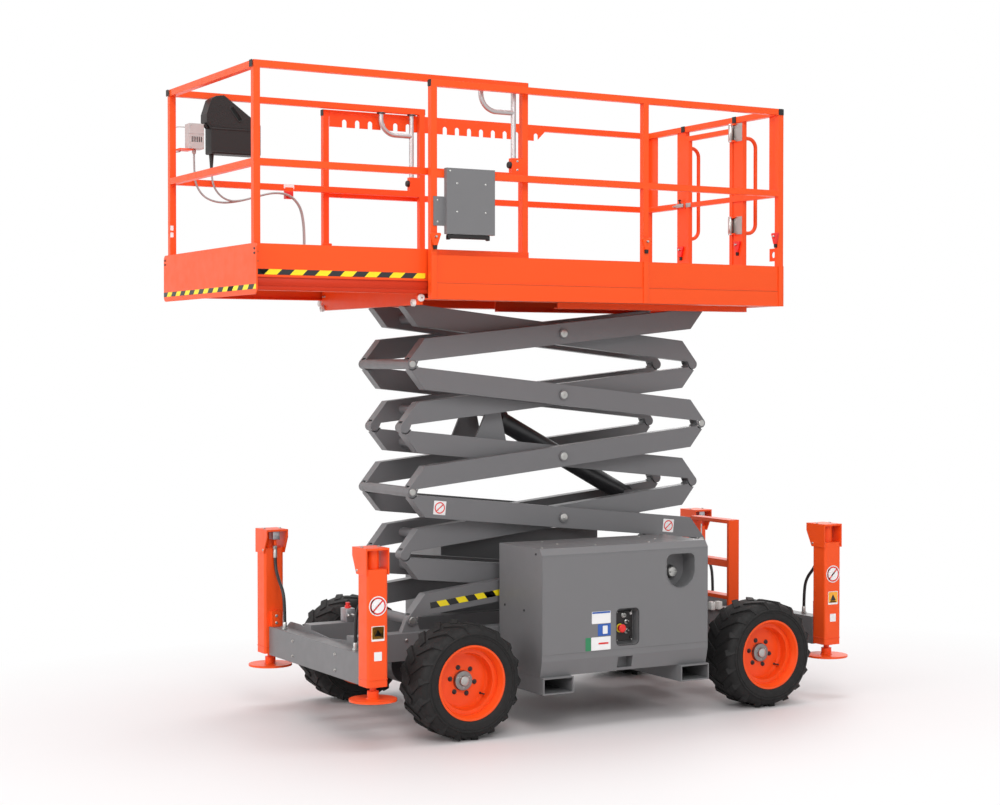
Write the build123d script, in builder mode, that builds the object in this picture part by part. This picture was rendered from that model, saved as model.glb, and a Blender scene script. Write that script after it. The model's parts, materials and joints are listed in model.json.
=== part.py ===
from build123d import *
import os
from math import acos, atan2, cos, degrees, hypot, pi, radians, sin, sqrt, tan

# Rough-terrain scissor lift, millimetres.  While it is drawn, x = 0 lies midway between the axles;
# keep() then moves every piece so that the row's origin is on the ground under the middle of the box.
# +X is the steered end, over which the platform extension rolls out.  +Y is the left side.

os.makedirs("parts", exist_ok=True)

# ------------------------------------------------------------------ driving dimensions
# wheels
wheelbase = 2120.0
tyre_radius = 330.0
tyre_width = 305.0
tyre_outer_y = 870.0
rim_radius = 215.0
well_radius = 186.0
disc_y = 740.0
hub_radius = 53.0
hub_reach = 20.0
rim_step = 22.0
tread_depth = 25.0
tread_pitch = 20.0
bar_width = 40.0
bar_slant = 32.0
bar_length = 166.0
bar_shoulder = 34.0
spindle_radius = 45.0
# axles and steering
axle_beam = (100.0, 80.0)
kingpin_y = 600.0
kingpin_radius = 22.0
rear_tube_radius = 60.0
rear_case = (75.0, 125.0)  # half its width, radius
rear_drum = (530.0, 95.0)  # where it starts, radius
spindle_reach = 60.0
spindle_clear = 12.0
king_boss_radius = 45.0
fork_plate = 20.0
# chassis
frame_y = (250.0, 350.0)
frame_z = (400.0, 560.0)
beam_x = 98.0
beam_z = (335.0, 510.0)
cross_members = (-890.0, -430.0, 100.0)
fork_x = (500.0, -468.0)
fork_width = 206.0
fork_wall = 8.0
fork_y = 880.0
fork_z = (222.0, 320.0)
apron_plate = 8.0
apron_y = (640.0, 560.0, 420.0)
apron_z = (495.0, 545.0, 512.0)
ladder_x = (-1301.0, -1218.0)
ladder_half = 215.0
ladder_flange = 20.0
ladder_top = 1113.0
ladder_steps = ((592.0, 24.0), (803.0, 46.0), (1089.0, 24.0))
ladder_foot = 60.0
# side modules
module_x = (-576.0, 601.0)
module_y = (370.0, 860.0)
module_z = (320.0, 1063.0)
module_wall = 8.0
control_at = (9.0, 578.0)
control_size = (156.0, 212.0)
control_depth = 60.0
bowl_at = (-374.0, 890.0)
bowl_width = 207.0
bowl_depth = 120.0
slot_at = (22.0, 370.0)
engine_x = (-260.0, 240.0)
engine_inset = (90.0, 60.0)
engine_height = 560.0
# outrigger jacks
jack_y = 722.5
jack_gap = 91.0  # from a front or rear tyre to the pad beside it
jack_tube = 127.0
jack_corner = 16.0
jack_z = (342.0, 995.0)
jack_top = 1112.0
jack_cap = 12.0
jack_cheek = 8.0
jack_flare = 52.0
flare_z = (964.0, 1065.0)
jack_ram_radius = 40.0
jack_stroke_seat = 80.0
jack_clamp = (58.0, 35.0, 95.0)
port_block = (44.0, 50.0)
port_y = (690.0, 624.0)
fitting_radius = 9.0
fitting_y = 645.0
fitting_z = 975.0
pad_radius = 134.5
pad_z = 260.0
pad_plate = 12.0
pad_stub = (32.5, 44.0)
pad_neck = (18.0, 20.0)
# scissor stack
stages = 5
arm_pins = 2110.0
arm_angle = 10.24
arm_low = 4.95
arm_high = 59.0
arm_depth = 127.0
arm_width = 76.0
arm_pin_offset = 77.5
outer_y = 292.0
inner_y = 202.0
end_pin_radius = 22.0
end_boss_radius = 30.0
cheek = 16.0
centre_pin_radius = 25.0
centre_head_radius = 31.0
cross_tube_radius = 30.0
cross_tube_at = 850.0
base_pin_x = 1165.0
base_pin_z = 630.0
lug_width = 42.0
base_rail_x = (-1010.0, 150.0)
roller_gap = 8.0
roller_width = 38.0
rail_gap = 0.5
rail_wall = 8.0
roller_radius = 30.0
# lift cylinder
ram_radius = 57.0
rod_radius = 35.0
ram_foot = (660.0, 40.0)
ram_head = (420.0, 245.0)
ram_pin_radius = 28.0
ear = 16.0
ear_gap = 4.0
rod_showing = 132.0
rod_in_barrel = 878.0
# platform
floor_over_pin = 80.0
deck_x = (-1243.0, 1257.0)
deck_y = 740.0
deck_depth = 91.0
toe_height = 159.0
rail_tube = 38.0
top_rail = 1125.0
mid_rail = 615.0
floor_half = 620.0
post_x = (-1243.0, -221.0, 1219.0)
post_width = 100.0
post_depth = 30.0
gusset_width = 120.0
toe_set = 3.0
anchor_y = (625.0, 702.0)
anchor_z = (195.0, 275.0)
anchor_hole = 20.0
grab_radius = 12.5
grab_reach = 110.0
grab_z = (mid_rail - 220.0, top_rail - 117.0)
grab_bend = 60.0
deck_rail_x = (-1230.0, 200.0)
deck_ribs = (-900.0, -300.0, 300.0, 800.0)
gate_y = (258.0, 263.0)
gate_z = (120.0, mid_rail, top_rail - 65.0)
hinge_z = (mid_rail - 173.0, top_rail - 82.0)
hinge_half = 48.0
hinge_x = deck_x[0] + 52.0
comb_x = (-370.0, 1218.0)
comb_low = 87.0
comb_pitch = 90.0
comb_slot = (32.0, 50.0)
comb_first = -146.0
comb_slots = 15
comb_end_slot = -296.0
box_x = (862.0, 1174.0)
box_z = (277.0, 649.0)
box_depth = 32.0
box_tab = (70.0, 5.0, 323.0, 488.0)
front_beam_half = 640.0
# roll-out extension
ext_front = 2303.0
ext_rear = 578.0
ext_y = 664.0
ext_top_rail = 1162.0
ext_mid_rail = 635.0
ext_toe = 195.0
ext_drop = 58.0
front_plate_half = 717.0
handle_x = 666.0
handle_radius = 15.0
handle_foot = 740.0
handle_branch = 1003.0
handle_forward = 217.0
handle_bend = 100.0
handle_flange = (26.0, 8.0)
control_thick = 100.0
control_x = (1755.0, 2071.0)
control_low = 805.0
control_head = ((0.0, 155.0), (29.0, 185.0), (29.0, 235.0), (-1.0, 325.0), (-31.0, 345.0), (-81.0, 352.0),
                (-106.0, 335.0))
control_back = 185.0
slot_middle = (1914.0, 1048.0)
slot_size = (80.0, 22.0)
slot_angle = 52.0
gland_radius = (15.0, 9.0)
outlet_x = (2110.0, 2200.0)
outlet_z = (830.0, 980.0)
outlet_thick = 79.0
clip_x = (1502.0, 1552.0)
clip_low = 565.0
# hoses and cables
hose_radius = 10.0
hose_gland = 12.0
cable_radius = 6.0
cable_y = (594.0, 606.5)
floor_gland = 10.0
# clearances and plate
fit = 0.05
side_gap = 1.0
swing_gap = 8.0
plate = 8.0

# The routes' points: a jack hose as (y, z), and the cables inside the right-hand rail as (x, z over the floor).
hose_route = ((645, 975), (645, 893), (600, 815), (515, 735), (497, 628), (497, 522))
control_route = ((2045, 725), (2045, 645), (2003, 567), (1930, 529), (1840, 539), (1750, 568), (1630, 599),
                 (1530, 587), (1464, 525), (1440, 430), (1434, 302), (1440, 160), (1440, 21))
outlet_route = ((2151, 810), (2151, 715), (2140, 615), (2085, 543), (1985, 517), (1870, 531), (1750, 567),
                (1630, 599), (1530, 587), (1464, 525), (1440, 430), (1434, 302), (1440, 160), (1440, 21))

# ------------------------------------------------------------------ worked out
jack_x = wheelbase / 2 + tyre_radius + jack_gap + pad_radius
frame_half = jack_x - jack_tube / 2
origin_x = (ext_front - jack_x - pad_radius) / 2
rise = arm_pins * sin(radians(arm_angle))
spread = arm_pins * cos(radians(arm_angle))
stage_x = base_pin_x - spread / 2
top_pin_z = base_pin_z + stages * rise
floor_z = top_pin_z + floor_over_pin
half_run = sqrt((arm_pins / 2) ** 2 - arm_pin_offset ** 2)
body_angle = arm_angle - degrees(atan2(arm_pin_offset, half_run))
wheel_y = tyre_outer_y - tyre_width / 2
SIDES = (1, -1)
hinge_face = deck_x[0] + post_depth
ear_inside = inner_y - arm_width / 2 - ear - ear_gap
rail_low = base_pin_z - roller_radius - rail_gap - rail_wall
rail_high = base_pin_z + roller_radius + rail_gap + rail_wall
CORNERS = (("fl", 1, 1), ("fr", 1, -1), ("rl", -1, 1), ("rr", -1, -1))


def block(x, y, z, mode=Mode.ADD):
    """A box between two x, two y and two z values."""
    with Locations(((x[0] + x[1]) / 2, (y[0] + y[1]) / 2, (z[0] + z[1]) / 2)):
        Box(abs(x[1] - x[0]), abs(y[1] - y[0]), abs(z[1] - z[0]), mode=mode)


def rod(start, end, radius, mode=Mode.ADD):
    """A round bar from one point to another."""
    axis = Vector(*end) - Vector(*start)
    with Locations(Plane(origin=start, z_dir=axis)):
        Cylinder(radius, axis.length, align=(Align.CENTER, Align.CENTER, Align.MIN), mode=mode)


def mirrored(y, side):
    """A pair of y values on the left (1) or the right (-1)."""
    return tuple(sorted((y[0] * side, y[1] * side)))


def pipe(points, radius, bend):
    """A round bar or pipe along straight runs with one bend radius, or a list of them."""
    with BuildLine() as route:
        FilletPolyline(*points, radius=bend)
    with BuildSketch(Plane(origin=route.line @ 0, z_dir=route.line % 0)) as section:
        Circle(radius)
    sweep(section.sketch, path=route.line)
    return sum(edge.length for edge in route.line.edges())


def cord(points, radius, name):
    """A hose or cable: its bends are as large as the runs beside them allow."""
    runs = [Vector(*b) - Vector(*a) for a, b in zip(points, points[1:])]
    bends = [0.45 * min(a.length, b.length) / tan(radians(a.get_angle(b)) / 2) for a, b in zip(runs, runs[1:])]
    with BuildPart() as tube:
        length = pipe(points, radius, bends)
    print(name, "bends", [round(bend) for bend in bends], "length", round(length),
          "volume ratio", round(tube.part.volume / (pi * radius ** 2 * length), 4))
    keep(tube.part, name)


def keep(piece, name):
    """Label a finished piece, set it in the row's frame and write its STEP file."""
    piece = piece.moved(Location((-origin_x, 0, 0)))
    piece.label = name
    export_step(piece, f"parts/{name}.step")


# ------------------------------------------------------------------ scissor arms
def stage_plane(stage, rises_to, y):
    """The mid plane of an arm: local x runs up along its body, local y is its upper side."""
    slope = radians(body_angle)
    centre = (stage_x, y, base_pin_z + (stage - 0.5) * rise)
    return Plane(origin=centre, x_dir=(rises_to * cos(slope), 0, sin(slope)), z_dir=(0, -rises_to, 0))


def touch(point, radius, turn):
    """Where the line from a point just touches a circle about the origin."""
    reach = hypot(*point)
    angle = atan2(point[1], point[0]) + turn * acos(radius / reach)
    return (radius * cos(angle), radius * sin(angle))


def arm(plane, outward, low_roller=0, high_roller=0):
    """One arm with pointed ends: cheeks and a pin at the low end, a bored boss at the high end."""
    pin = (half_run, arm_pin_offset)
    back = (-100.0, -arm_pin_offset - arm_depth / 2)
    front = (-42.0, -arm_pin_offset + arm_depth / 2)
    high = [front, touch(front, end_boss_radius, -1), touch(back, end_boss_radius, 1), back]
    high = [(pin[0] + u, pin[1] + v) for u, v in high]
    with BuildSketch(plane) as outline:
        with BuildLine():
            Polyline(*high, *[(-u, -v) for u, v in high], close=True)
        make_face()
        with Locations(pin, (-pin[0], -pin[1])):
            Circle(end_boss_radius)
    extrude(outline.sketch, amount=arm_width / 2, both=True)
    relief = end_boss_radius + swing_gap
    low_at = plane.location * Location((-pin[0], -pin[1], 0))
    high_at = plane.location * Location((pin[0], pin[1], 0))
    slot = arm_width - 2 * cheek
    with Locations(low_at):
        Cylinder(relief, slot, mode=Mode.SUBTRACT)
        Cylinder(end_pin_radius, arm_width)
    shoulder = cheek + side_gap
    for end in SIDES:
        with Locations(high_at * Location((0, 0, end * (arm_width - shoulder) / 2))):
            Cylinder(relief, shoulder, mode=Mode.SUBTRACT)
    if high_roller:
        with Locations(high_at):
            Cylinder(end_pin_radius, arm_width)
    else:
        with Locations(high_at):
            Cylinder(end_pin_radius + fit, arm_width, mode=Mode.SUBTRACT)
    for at, roll in ((low_at, low_roller), (high_at, high_roller)):
        if roll:
            centre = at.position
            face = centre.Y + roll * arm_width / 2
            wheel_from = face + roll * roller_gap
            rod((centre.X, face, centre.Z), (centre.X, wheel_from, centre.Z), end_pin_radius)
            rod((centre.X, wheel_from, centre.Z),
                (centre.X, wheel_from + roll * roller_width, centre.Z), roller_radius)


for stage in range(1, stages + 1):
    outer_to = -1 if stage % 2 else 1
    centre_z = base_pin_z + (stage - 0.5) * rise
    low_pin_z = base_pin_z + (stage - 1) * rise

    with BuildPart() as outer_arms:
        for side in SIDES:
            plane = stage_plane(stage, outer_to, side * outer_y)
            arm(plane, side, high_roller=side if stage == stages else 0)
            with Locations(plane.location):
                Cylinder(centre_pin_radius + fit, arm_width, mode=Mode.SUBTRACT)
        if stage % 2:
            inside = outer_y - arm_width / 2 + cheek
            rod((base_pin_x, -inside, low_pin_z), (base_pin_x, inside, low_pin_z), cross_tube_radius)
            for side in SIDES:
                slot = mirrored((outer_y - arm_width / 2 + cheek, outer_y + arm_width / 2 - cheek), side)
                rod((base_pin_x, slot[0], low_pin_z), (base_pin_x, slot[1], low_pin_z), end_pin_radius)
    keep(outer_arms.part, f"outer_arms_{stage}")

    with BuildPart() as inner_arms:
        for side in SIDES:
            plane = stage_plane(stage, -outer_to, side * inner_y)
            arm(plane, side, low_roller=-side if stage == 1 else 0)
            face = inner_y + arm_width / 2
            through = outer_y + arm_width / 2 + side_gap
            rod((stage_x, side * (face - 20), centre_z), (stage_x, side * through, centre_z),
                centre_pin_radius)
            rod((stage_x, side * through, centre_z), (stage_x, side * (through + 9), centre_z),
                centre_head_radius)
        inside = inner_y - arm_width / 2
        middle = stage_plane(stage, -outer_to, 0)
        for along in (-cross_tube_at, cross_tube_at):
            with Locations(middle.location * Location((along, 0, 0))):
                Cylinder(cross_tube_radius, 2 * inside + 2)
        if stage == 2:
            with Locations(middle.location * Location((*ram_foot, 0))):
                Cylinder(ram_pin_radius, 2 * inside + 2)
        if stage == 3:
            for side in SIDES:
                ear_at = stage_plane(stage, -outer_to, side * (ear_inside + ear / 2))
                with BuildSketch(ear_at) as ear_outline:
                    with BuildLine():
                        Polyline((ram_head[0] - 120, -50), (ram_head[0] - 120, 20), (ram_head[0] - 45, ram_head[1]),
                                 (ram_head[0] + 45, ram_head[1]), (ram_head[0] + 120, 20),
                                 (ram_head[0] + 120, -50), close=True)
                    make_face()
                    with Locations(ram_head):
                        Circle(45)
                extrude(ear_outline.sketch, amount=ear / 2, both=True)
                with Locations(ear_at.location * Location((ram_head[0], -15, 0))):
                    Box(240, 70, ear + 2 * ear_gap + 2)
    keep(inner_arms.part, f"inner_arms_{stage}")

# ------------------------------------------------------------------ chassis
with BuildPart() as chassis_frame:
    for side in SIDES:
        block((-frame_half, frame_half), mirrored(frame_y, side), frame_z)
        for end in SIDES:
            block((end * frame_half, end * (frame_half + beam_x)), mirrored((0, jack_y - jack_tube / 2), side),
                  beam_z)
            rod((end * jack_x, side * hose_route[-1][0], beam_z[1]),
                (end * jack_x, side * hose_route[-1][0], beam_z[1] + hose_gland), hose_radius + 4)
        lug_y = side * outer_y
        with BuildSketch(Plane.XZ.offset(-lug_y)):
            with BuildLine():
                Polyline((base_pin_x - 70, frame_z[1] - 20), (base_pin_x - 27, base_pin_z + 12),
                         (base_pin_x + 27, base_pin_z + 12), (base_pin_x + 70, frame_z[1] - 20), close=True)
            make_face()
            with Locations((base_pin_x, base_pin_z)):
                Circle(end_boss_radius)
                Circle(end_pin_radius + fit, mode=Mode.SUBTRACT)
        extrude(amount=lug_width / 2, both=True)
        rod((base_pin_x, lug_y - lug_width / 2, base_pin_z), (base_pin_x, lug_y + lug_width / 2, base_pin_z),
            end_pin_radius + fit, mode=Mode.SUBTRACT)
        web = inner_y - arm_width / 2 - roller_gap - roller_width - rail_gap
        block(base_rail_x, mirrored((web - rail_wall, web), side), (rail_low, rail_high))
        for low in (rail_low, rail_high - rail_wall):
            block(base_rail_x, mirrored((web - rail_wall, web + roller_width + rail_gap), side),
                  (low, low + rail_wall))
    apron = [(apron_y[0], frame_z[0]), (apron_y[0], apron_z[0]), (apron_y[1], apron_z[1]),
             (apron_y[2], apron_z[1]), (0, apron_z[2])]
    with BuildSketch(Plane.YZ.offset(frame_half - apron_plate)):
        with BuildLine():
            FilletPolyline(*apron, *[(-y, z) for y, z in reversed(apron[:-1])], radius=30, close=True)
        make_face()
    extrude(amount=apron_plate)
    for x in cross_members:
        block((x - 50, x + 50), (-frame_y[0], frame_y[0]), (frame_z[0] + 20, rail_low))
    for side in SIDES:
        for x in fork_x:
            block((x - 60, x + 60), mirrored((frame_y[0] + 10, frame_y[1] - 10), side), (fork_z[1], frame_z[0]))
        for x in (-wheelbase / 2, wheelbase / 2):
            block((x - 60, x + 60), mirrored((frame_y[0] + 10, frame_y[1] - 10), side),
                  (tyre_radius + (axle_beam[1] / 2 if x > 0 else rear_tube_radius), frame_z[0]))
keep(chassis_frame.part, "chassis_frame")

with BuildPart() as fork_pockets:
    for x in fork_x:
        block((x - fork_width / 2, x + fork_width / 2), (-fork_y, fork_y), fork_z)
        block((x - fork_width / 2 + fork_wall, x + fork_width / 2 - fork_wall), (-fork_y, fork_y),
              (fork_z[0] + fork_wall, fork_z[1] - fork_wall), mode=Mode.SUBTRACT)
keep(fork_pockets.part, "fork_pockets")

with BuildPart() as ladder:
    foot_z = frame_z[1] - ladder_foot
    for side in SIDES:
        block(ladder_x, mirrored((ladder_half - plate, ladder_half), side), (foot_z, ladder_top))
        block((ladder_x[1] - plate, ladder_x[1]), mirrored((ladder_half - ladder_flange, ladder_half), side),
              (foot_z, ladder_top))
        block(ladder_x, mirrored((ladder_half, frame_y[0]), side), (foot_z, foot_z + plate))
    for low, height in ladder_steps:
        block(ladder_x, (-ladder_half, ladder_half), (low + height - plate, low + height))
        for x in ladder_x:
            inside = x + plate if x == ladder_x[0] else x - plate
            block((x, inside), (-ladder_half, ladder_half), (low, low + height))
keep(ladder.part, "ladder")

# ------------------------------------------------------------------ outrigger jacks
for name, end, side in CORNERS:
    x, y = end * jack_x, side * jack_y
    half = jack_tube / 2
    inboard, outboard, head = y - side * half, y + side * half, jack_top - jack_cap
    with BuildPart() as jack_housing:
        with BuildSketch(Plane.XY.offset(jack_z[0])):
            with Locations((x, y)):
                RectangleRounded(jack_tube, jack_tube, jack_corner)
        extrude(amount=jack_z[1] - jack_z[0])
        for across in SIDES:
            with BuildSketch(Plane.YZ.offset(x + across * (half + jack_cheek / 2))):
                with BuildLine():
                    Polyline((outboard, flare_z[0]), (outboard, head), (inboard - side * jack_flare, head),
                             (inboard - side * jack_flare, flare_z[1]), (inboard, flare_z[0]), close=True)
                make_face()
            extrude(amount=jack_cheek / 2, both=True)
        block((x - half - jack_cheek, x + half + jack_cheek), (inboard - side * jack_flare, outboard),
              (head, jack_top))
        rod((x, y, jack_z[1]), (x, y, head), jack_ram_radius - 6)
        block((x - port_block[0] / 2, x + port_block[0] / 2), mirrored(port_y, side), (head - port_block[1], head))
        rod((x, side * fitting_y, fitting_z), (x, side * fitting_y, head - port_block[1]), fitting_radius)
        block((x - jack_clamp[0] / 2, x + jack_clamp[0] / 2), (inboard - side * jack_clamp[1], inboard),
              (beam_z[1], beam_z[1] + jack_clamp[2]))
        rod((x, y, jack_z[0]), (x, y, jack_z[1] - jack_stroke_seat), jack_ram_radius + fit, mode=Mode.SUBTRACT)
    keep(jack_housing.part, f"jack_housing_{name}")
    with BuildPart() as jack_foot:
        rod((x, y, pad_z), (x, y, pad_z + pad_plate), pad_radius)
        stub_top = pad_z + pad_plate + pad_stub[1]
        rod((x, y, pad_z + pad_plate), (x, y, stub_top), pad_stub[0])
        rod((x, y, stub_top), (x, y, stub_top + pad_neck[1]), pad_neck[0])
        rod((x, y, stub_top + pad_neck[1]), (x, y, jack_z[0] + 430), jack_ram_radius)
    keep(jack_foot.part, f"jack_foot_{name}")
    cord([(x, side * across, z) for across, z in hose_route], hose_radius, f"jack_hose_{name}")

# ------------------------------------------------------------------ axles, steering and wheels
with BuildPart() as drive_axle:
    x = -wheelbase / 2
    rod((x, -rear_drum[0], tyre_radius), (x, rear_drum[0], tyre_radius), rear_tube_radius)
    rod((x, -rear_case[0], tyre_radius), (x, rear_case[0], tyre_radius), rear_case[1])
    for side in SIDES:
        drum_end = side * (disc_y - spindle_reach)
        rod((x, side * rear_drum[0], tyre_radius), (x, drum_end, tyre_radius), rear_drum[1])
        rod((x, drum_end, tyre_radius), (x, side * (disc_y - spindle_clear), tyre_radius), spindle_radius)
keep(drive_axle.part, "drive_axle")

steer_x = wheelbase / 2
with BuildPart() as steer_axle:
    low, high = tyre_radius - axle_beam[1] / 2, tyre_radius + axle_beam[1] / 2
    block((steer_x - axle_beam[0] / 2, steer_x + axle_beam[0] / 2), (-kingpin_y, kingpin_y), (low, high))
    rod((steer_x, -75, tyre_radius), (steer_x, 75, tyre_radius), 115)
    for side in SIDES:
        block((steer_x - 80, steer_x + 80), mirrored((kingpin_y - 20, kingpin_y + 60), side), (low - 5, high + 5),
              mode=Mode.SUBTRACT)
        rod((steer_x, side * kingpin_y, low), (steer_x, side * kingpin_y, high), king_boss_radius)
        rod((steer_x, side * kingpin_y, low), (steer_x, side * kingpin_y, high), kingpin_radius + fit,
            mode=Mode.SUBTRACT)
keep(steer_axle.part, "steer_axle")

for name, side in (("left", 1), ("right", -1)):
    with BuildPart() as knuckle:
        y = side * kingpin_y
        for low in (tyre_radius - axle_beam[1] / 2 - 6 - fork_plate, tyre_radius + axle_beam[1] / 2 + 6):
            rod((steer_x, y, low), (steer_x, y, low + fork_plate), king_boss_radius)
            block((steer_x - 45, steer_x + 45), mirrored((kingpin_y, kingpin_y + 80), side),
                  (low, low + fork_plate))
        reach = axle_beam[1] / 2 + 6 + fork_plate
        rod((steer_x, y, tyre_radius - reach), (steer_x, y, tyre_radius + reach), kingpin_radius)
        block((steer_x - 45, steer_x + 45), mirrored((kingpin_y + 56, kingpin_y + 80), side),
              (tyre_radius - reach, tyre_radius + reach))
        rod((steer_x, side * (kingpin_y + 56), tyre_radius), (steer_x, side * (disc_y - spindle_clear), tyre_radius),
            spindle_radius)
        block((steer_x - 160, steer_x), mirrored((kingpin_y - 20, kingpin_y + 20), side),
              (tyre_radius - reach, tyre_radius - reach + fork_plate))
    keep(knuckle.part, f"knuckle_{name}")

inner = tyre_outer_y - tyre_width
for name, end, side in CORNERS:
    x = end * wheelbase / 2
    with BuildPart() as rim:
        with BuildSketch(Plane(origin=(x, 0, tyre_radius), x_dir=(0, side, 0), z_dir=(side, 0, 0))):
            with BuildLine():
                Polyline((inner + 10, well_radius), (inner + 10, rim_radius), (inner + 18, rim_radius),
                         (inner + 40, well_radius + 8), (tyre_outer_y - 70, well_radius + 8),
                         (tyre_outer_y - 25, rim_radius - 4), (tyre_outer_y - 10, rim_radius),
                         (tyre_outer_y - 10, rim_radius - 12), (tyre_outer_y - 45, well_radius + 2),
                         (tyre_outer_y - 66, well_radius + 2), (tyre_outer_y - 66, well_radius - rim_step),
                         (disc_y + 14, well_radius - rim_step - 4), (disc_y, well_radius - rim_step - 14),
                         (disc_y, hub_radius), (disc_y + hub_reach, hub_radius), (disc_y + hub_reach, 0),
                         (disc_y - 8, 0), (disc_y - 8, spindle_radius + fit), (disc_y - 55, spindle_radius + fit),
                         (disc_y - 55, hub_radius + 8), (disc_y - 10, hub_radius + 16),
                         (disc_y - 10, well_radius), close=True)
            make_face()
        revolve(axis=Axis((x, 0, tyre_radius), (0, 1, 0)))
    keep(rim.part, f"rim_{name}")

# Two bars of the tread's chevron, for a wheel whose axle is the z axis and whose outer side faces +z:
# each stands in a plane that holds the radius through its middle and slants back from the tyre's middle.
with BuildPart() as tread_bars:
    along, back = cos(radians(bar_slant)), sin(radians(bar_slant))
    for half, turn in ((1, 0), (-1, tread_pitch / 2)):
        middle = Plane(origin=(0, 0, half * along * bar_length / 2), x_dir=(0, -back, half * along),
                       z_dir=(0, half * along, back))
        with BuildSketch(Plane(Location((0, 0, 0), (0, 0, turn)) * middle.location)):
            with BuildLine():
                Polyline((-bar_length / 2, tyre_radius - 68), (-bar_length / 2, tyre_radius + 5),
                         (bar_length / 2 - bar_shoulder, tyre_radius + 5), (bar_length / 2, tyre_radius - 50),
                         (bar_length / 2, tyre_radius - 68), close=True)
            make_face()
        extrude(amount=bar_width / 2, both=True)
    Cylinder(tyre_radius, tyre_width, mode=Mode.INTERSECT)

with BuildPart() as left_tyre:
    carcass = tyre_radius - tread_depth
    with BuildSketch(Plane.YZ):
        with BuildLine():
            Polyline((inner + 12, rim_radius + 0.5), (inner + 4, rim_radius + 20), (inner, rim_radius + 60),
                     (inner + 22, carcass - 12), (inner + 60, carcass), (tyre_outer_y - 60, carcass),
                     (tyre_outer_y - 22, carcass - 12), (tyre_outer_y, rim_radius + 60),
                     (tyre_outer_y - 4, rim_radius + 20), (tyre_outer_y - 12, rim_radius + 0.5),
                     (tyre_outer_y - 27, rim_radius - 2.5), (tyre_outer_y - 70, well_radius + 10),
                     (inner + 40, well_radius + 10), (inner + 18, rim_radius + 0.5), close=True)
        make_face()
    revolve(axis=Axis.Y)
    with Locations(Plane(origin=(0, wheel_y, 0), x_dir=(1, 0, 0), z_dir=(0, 1, 0))):
        with PolarLocations(0, round(360 / tread_pitch)):
            add(tread_bars.part)

for name, end, side in CORNERS:
    tyre = left_tyre.part if side > 0 else mirror(left_tyre.part, about=Plane.XZ)
    keep(tyre.moved(Location((end * wheelbase / 2, 0, tyre_radius))), f"tyre_{name}")

# ------------------------------------------------------------------ side modules
def module_outline(side, inset=0.0):
    """The end outline of a side module, as (y, z) points."""
    inner, outer = module_y[0] + inset, module_y[1] - inset
    low, high = module_z[0] + inset, module_z[1] - inset
    return [(side * inner, low), (side * (outer - 20), low), (side * outer, low + 92),
            (side * outer, high - 37), (side * (outer - 27), high), (side * inner, high)]


with BuildPart() as module_left:
    with BuildSketch(Plane.YZ.offset(module_x[0])):
        with BuildLine():
            Polyline(*module_outline(1), close=True)
        make_face()
    extrude(amount=module_x[1] - module_x[0])
    with BuildSketch(Plane.XZ.offset(-module_y[1])):
        with Locations((control_at[0], control_at[1])):
            RectangleRounded(*control_size, 26)
    extrude(amount=control_depth, mode=Mode.SUBTRACT)
    with BuildSketch(Plane.XZ.offset(-module_y[1])):
        with Locations((bowl_at[0], bowl_at[1] + 30)):
            RectangleRounded(bowl_width, bowl_width - 60, 40)
        with Locations(bowl_at):
            Circle(bowl_width / 2)
    extrude(amount=bowl_depth, mode=Mode.SUBTRACT)
    block((slot_at[0] - 52, slot_at[0] + 52), (module_y[1] - 70, module_y[1]), (slot_at[1] - 33, slot_at[1] + 33),
          mode=Mode.SUBTRACT)
keep(module_left.part, "module_left")

with BuildPart() as base_controls:
    back = module_y[1] - control_depth
    block((control_at[0] - 60, control_at[0] + 60), (back, back + 22), (control_at[1] - 88, control_at[1] + 88))
    rod((control_at[0] + 30, back + 22, control_at[1] - 10), (control_at[0] + 30, back + 50, control_at[1] - 10), 20)
    rod((control_at[0] - 15, back + 22, control_at[1] - 30), (control_at[0] - 15, back + 42, control_at[1] - 30), 10)
    rod((control_at[0] - 15, back + 22, control_at[1] + 25), (control_at[0] - 15, back + 42, control_at[1] + 25), 8)
keep(base_controls.part, "base_controls")

with BuildPart() as module_right:
    for inset, mode in ((0.0, Mode.ADD), (module_wall, Mode.SUBTRACT)):
        with BuildSketch(Plane.YZ.offset(module_x[0] + inset)):
            with BuildLine():
                Polyline(*module_outline(-1, inset), close=True)
            make_face()
        extrude(amount=module_x[1] - module_x[0] - 2 * inset, mode=mode)
keep(module_right.part, "module_right")

with BuildPart() as engine_block:
    block(engine_x, (-module_y[1] + engine_inset[0], -module_y[0] - engine_inset[1]),
          (module_z[0] + module_wall, module_z[0] + engine_height))
keep(engine_block.part, "engine_block")

# ------------------------------------------------------------------ lift cylinder
foot_at = stage_plane(2, -1, 0)
head_at = stage_plane(3, 1, 0)
foot = foot_at.from_local_coords(Vector(*ram_foot, 0))
head = head_at.from_local_coords(Vector(*ram_head, 0))
along = (head - foot).normalized()
barrel_length = (head - foot).length - rod_showing
with BuildPart() as lift_barrel:
    rod(foot + Vector(0, -45, 0), foot + Vector(0, 45, 0), 52)
    rod(foot, foot + along * barrel_length, ram_radius)
    rod(foot + along * (barrel_length - 30), foot + along * barrel_length, ram_radius + 8)
    rod(foot + Vector(0, -60, 0), foot + Vector(0, 60, 0), ram_pin_radius + fit, mode=Mode.SUBTRACT)
    rod(foot + along * 90, foot + along * (barrel_length + 1), rod_radius + fit, mode=Mode.SUBTRACT)
keep(lift_barrel.part, "lift_barrel")

with BuildPart() as lift_rod:
    rod(head - along * (rod_showing + rod_in_barrel), head, rod_radius)
    rod(head + Vector(0, -42, 0), head + Vector(0, 42, 0), 45)
    rod(head + Vector(0, -ear_inside + 5, 0), head + Vector(0, ear_inside - 5, 0), 26)
keep(lift_rod.part, "lift_rod")

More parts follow.
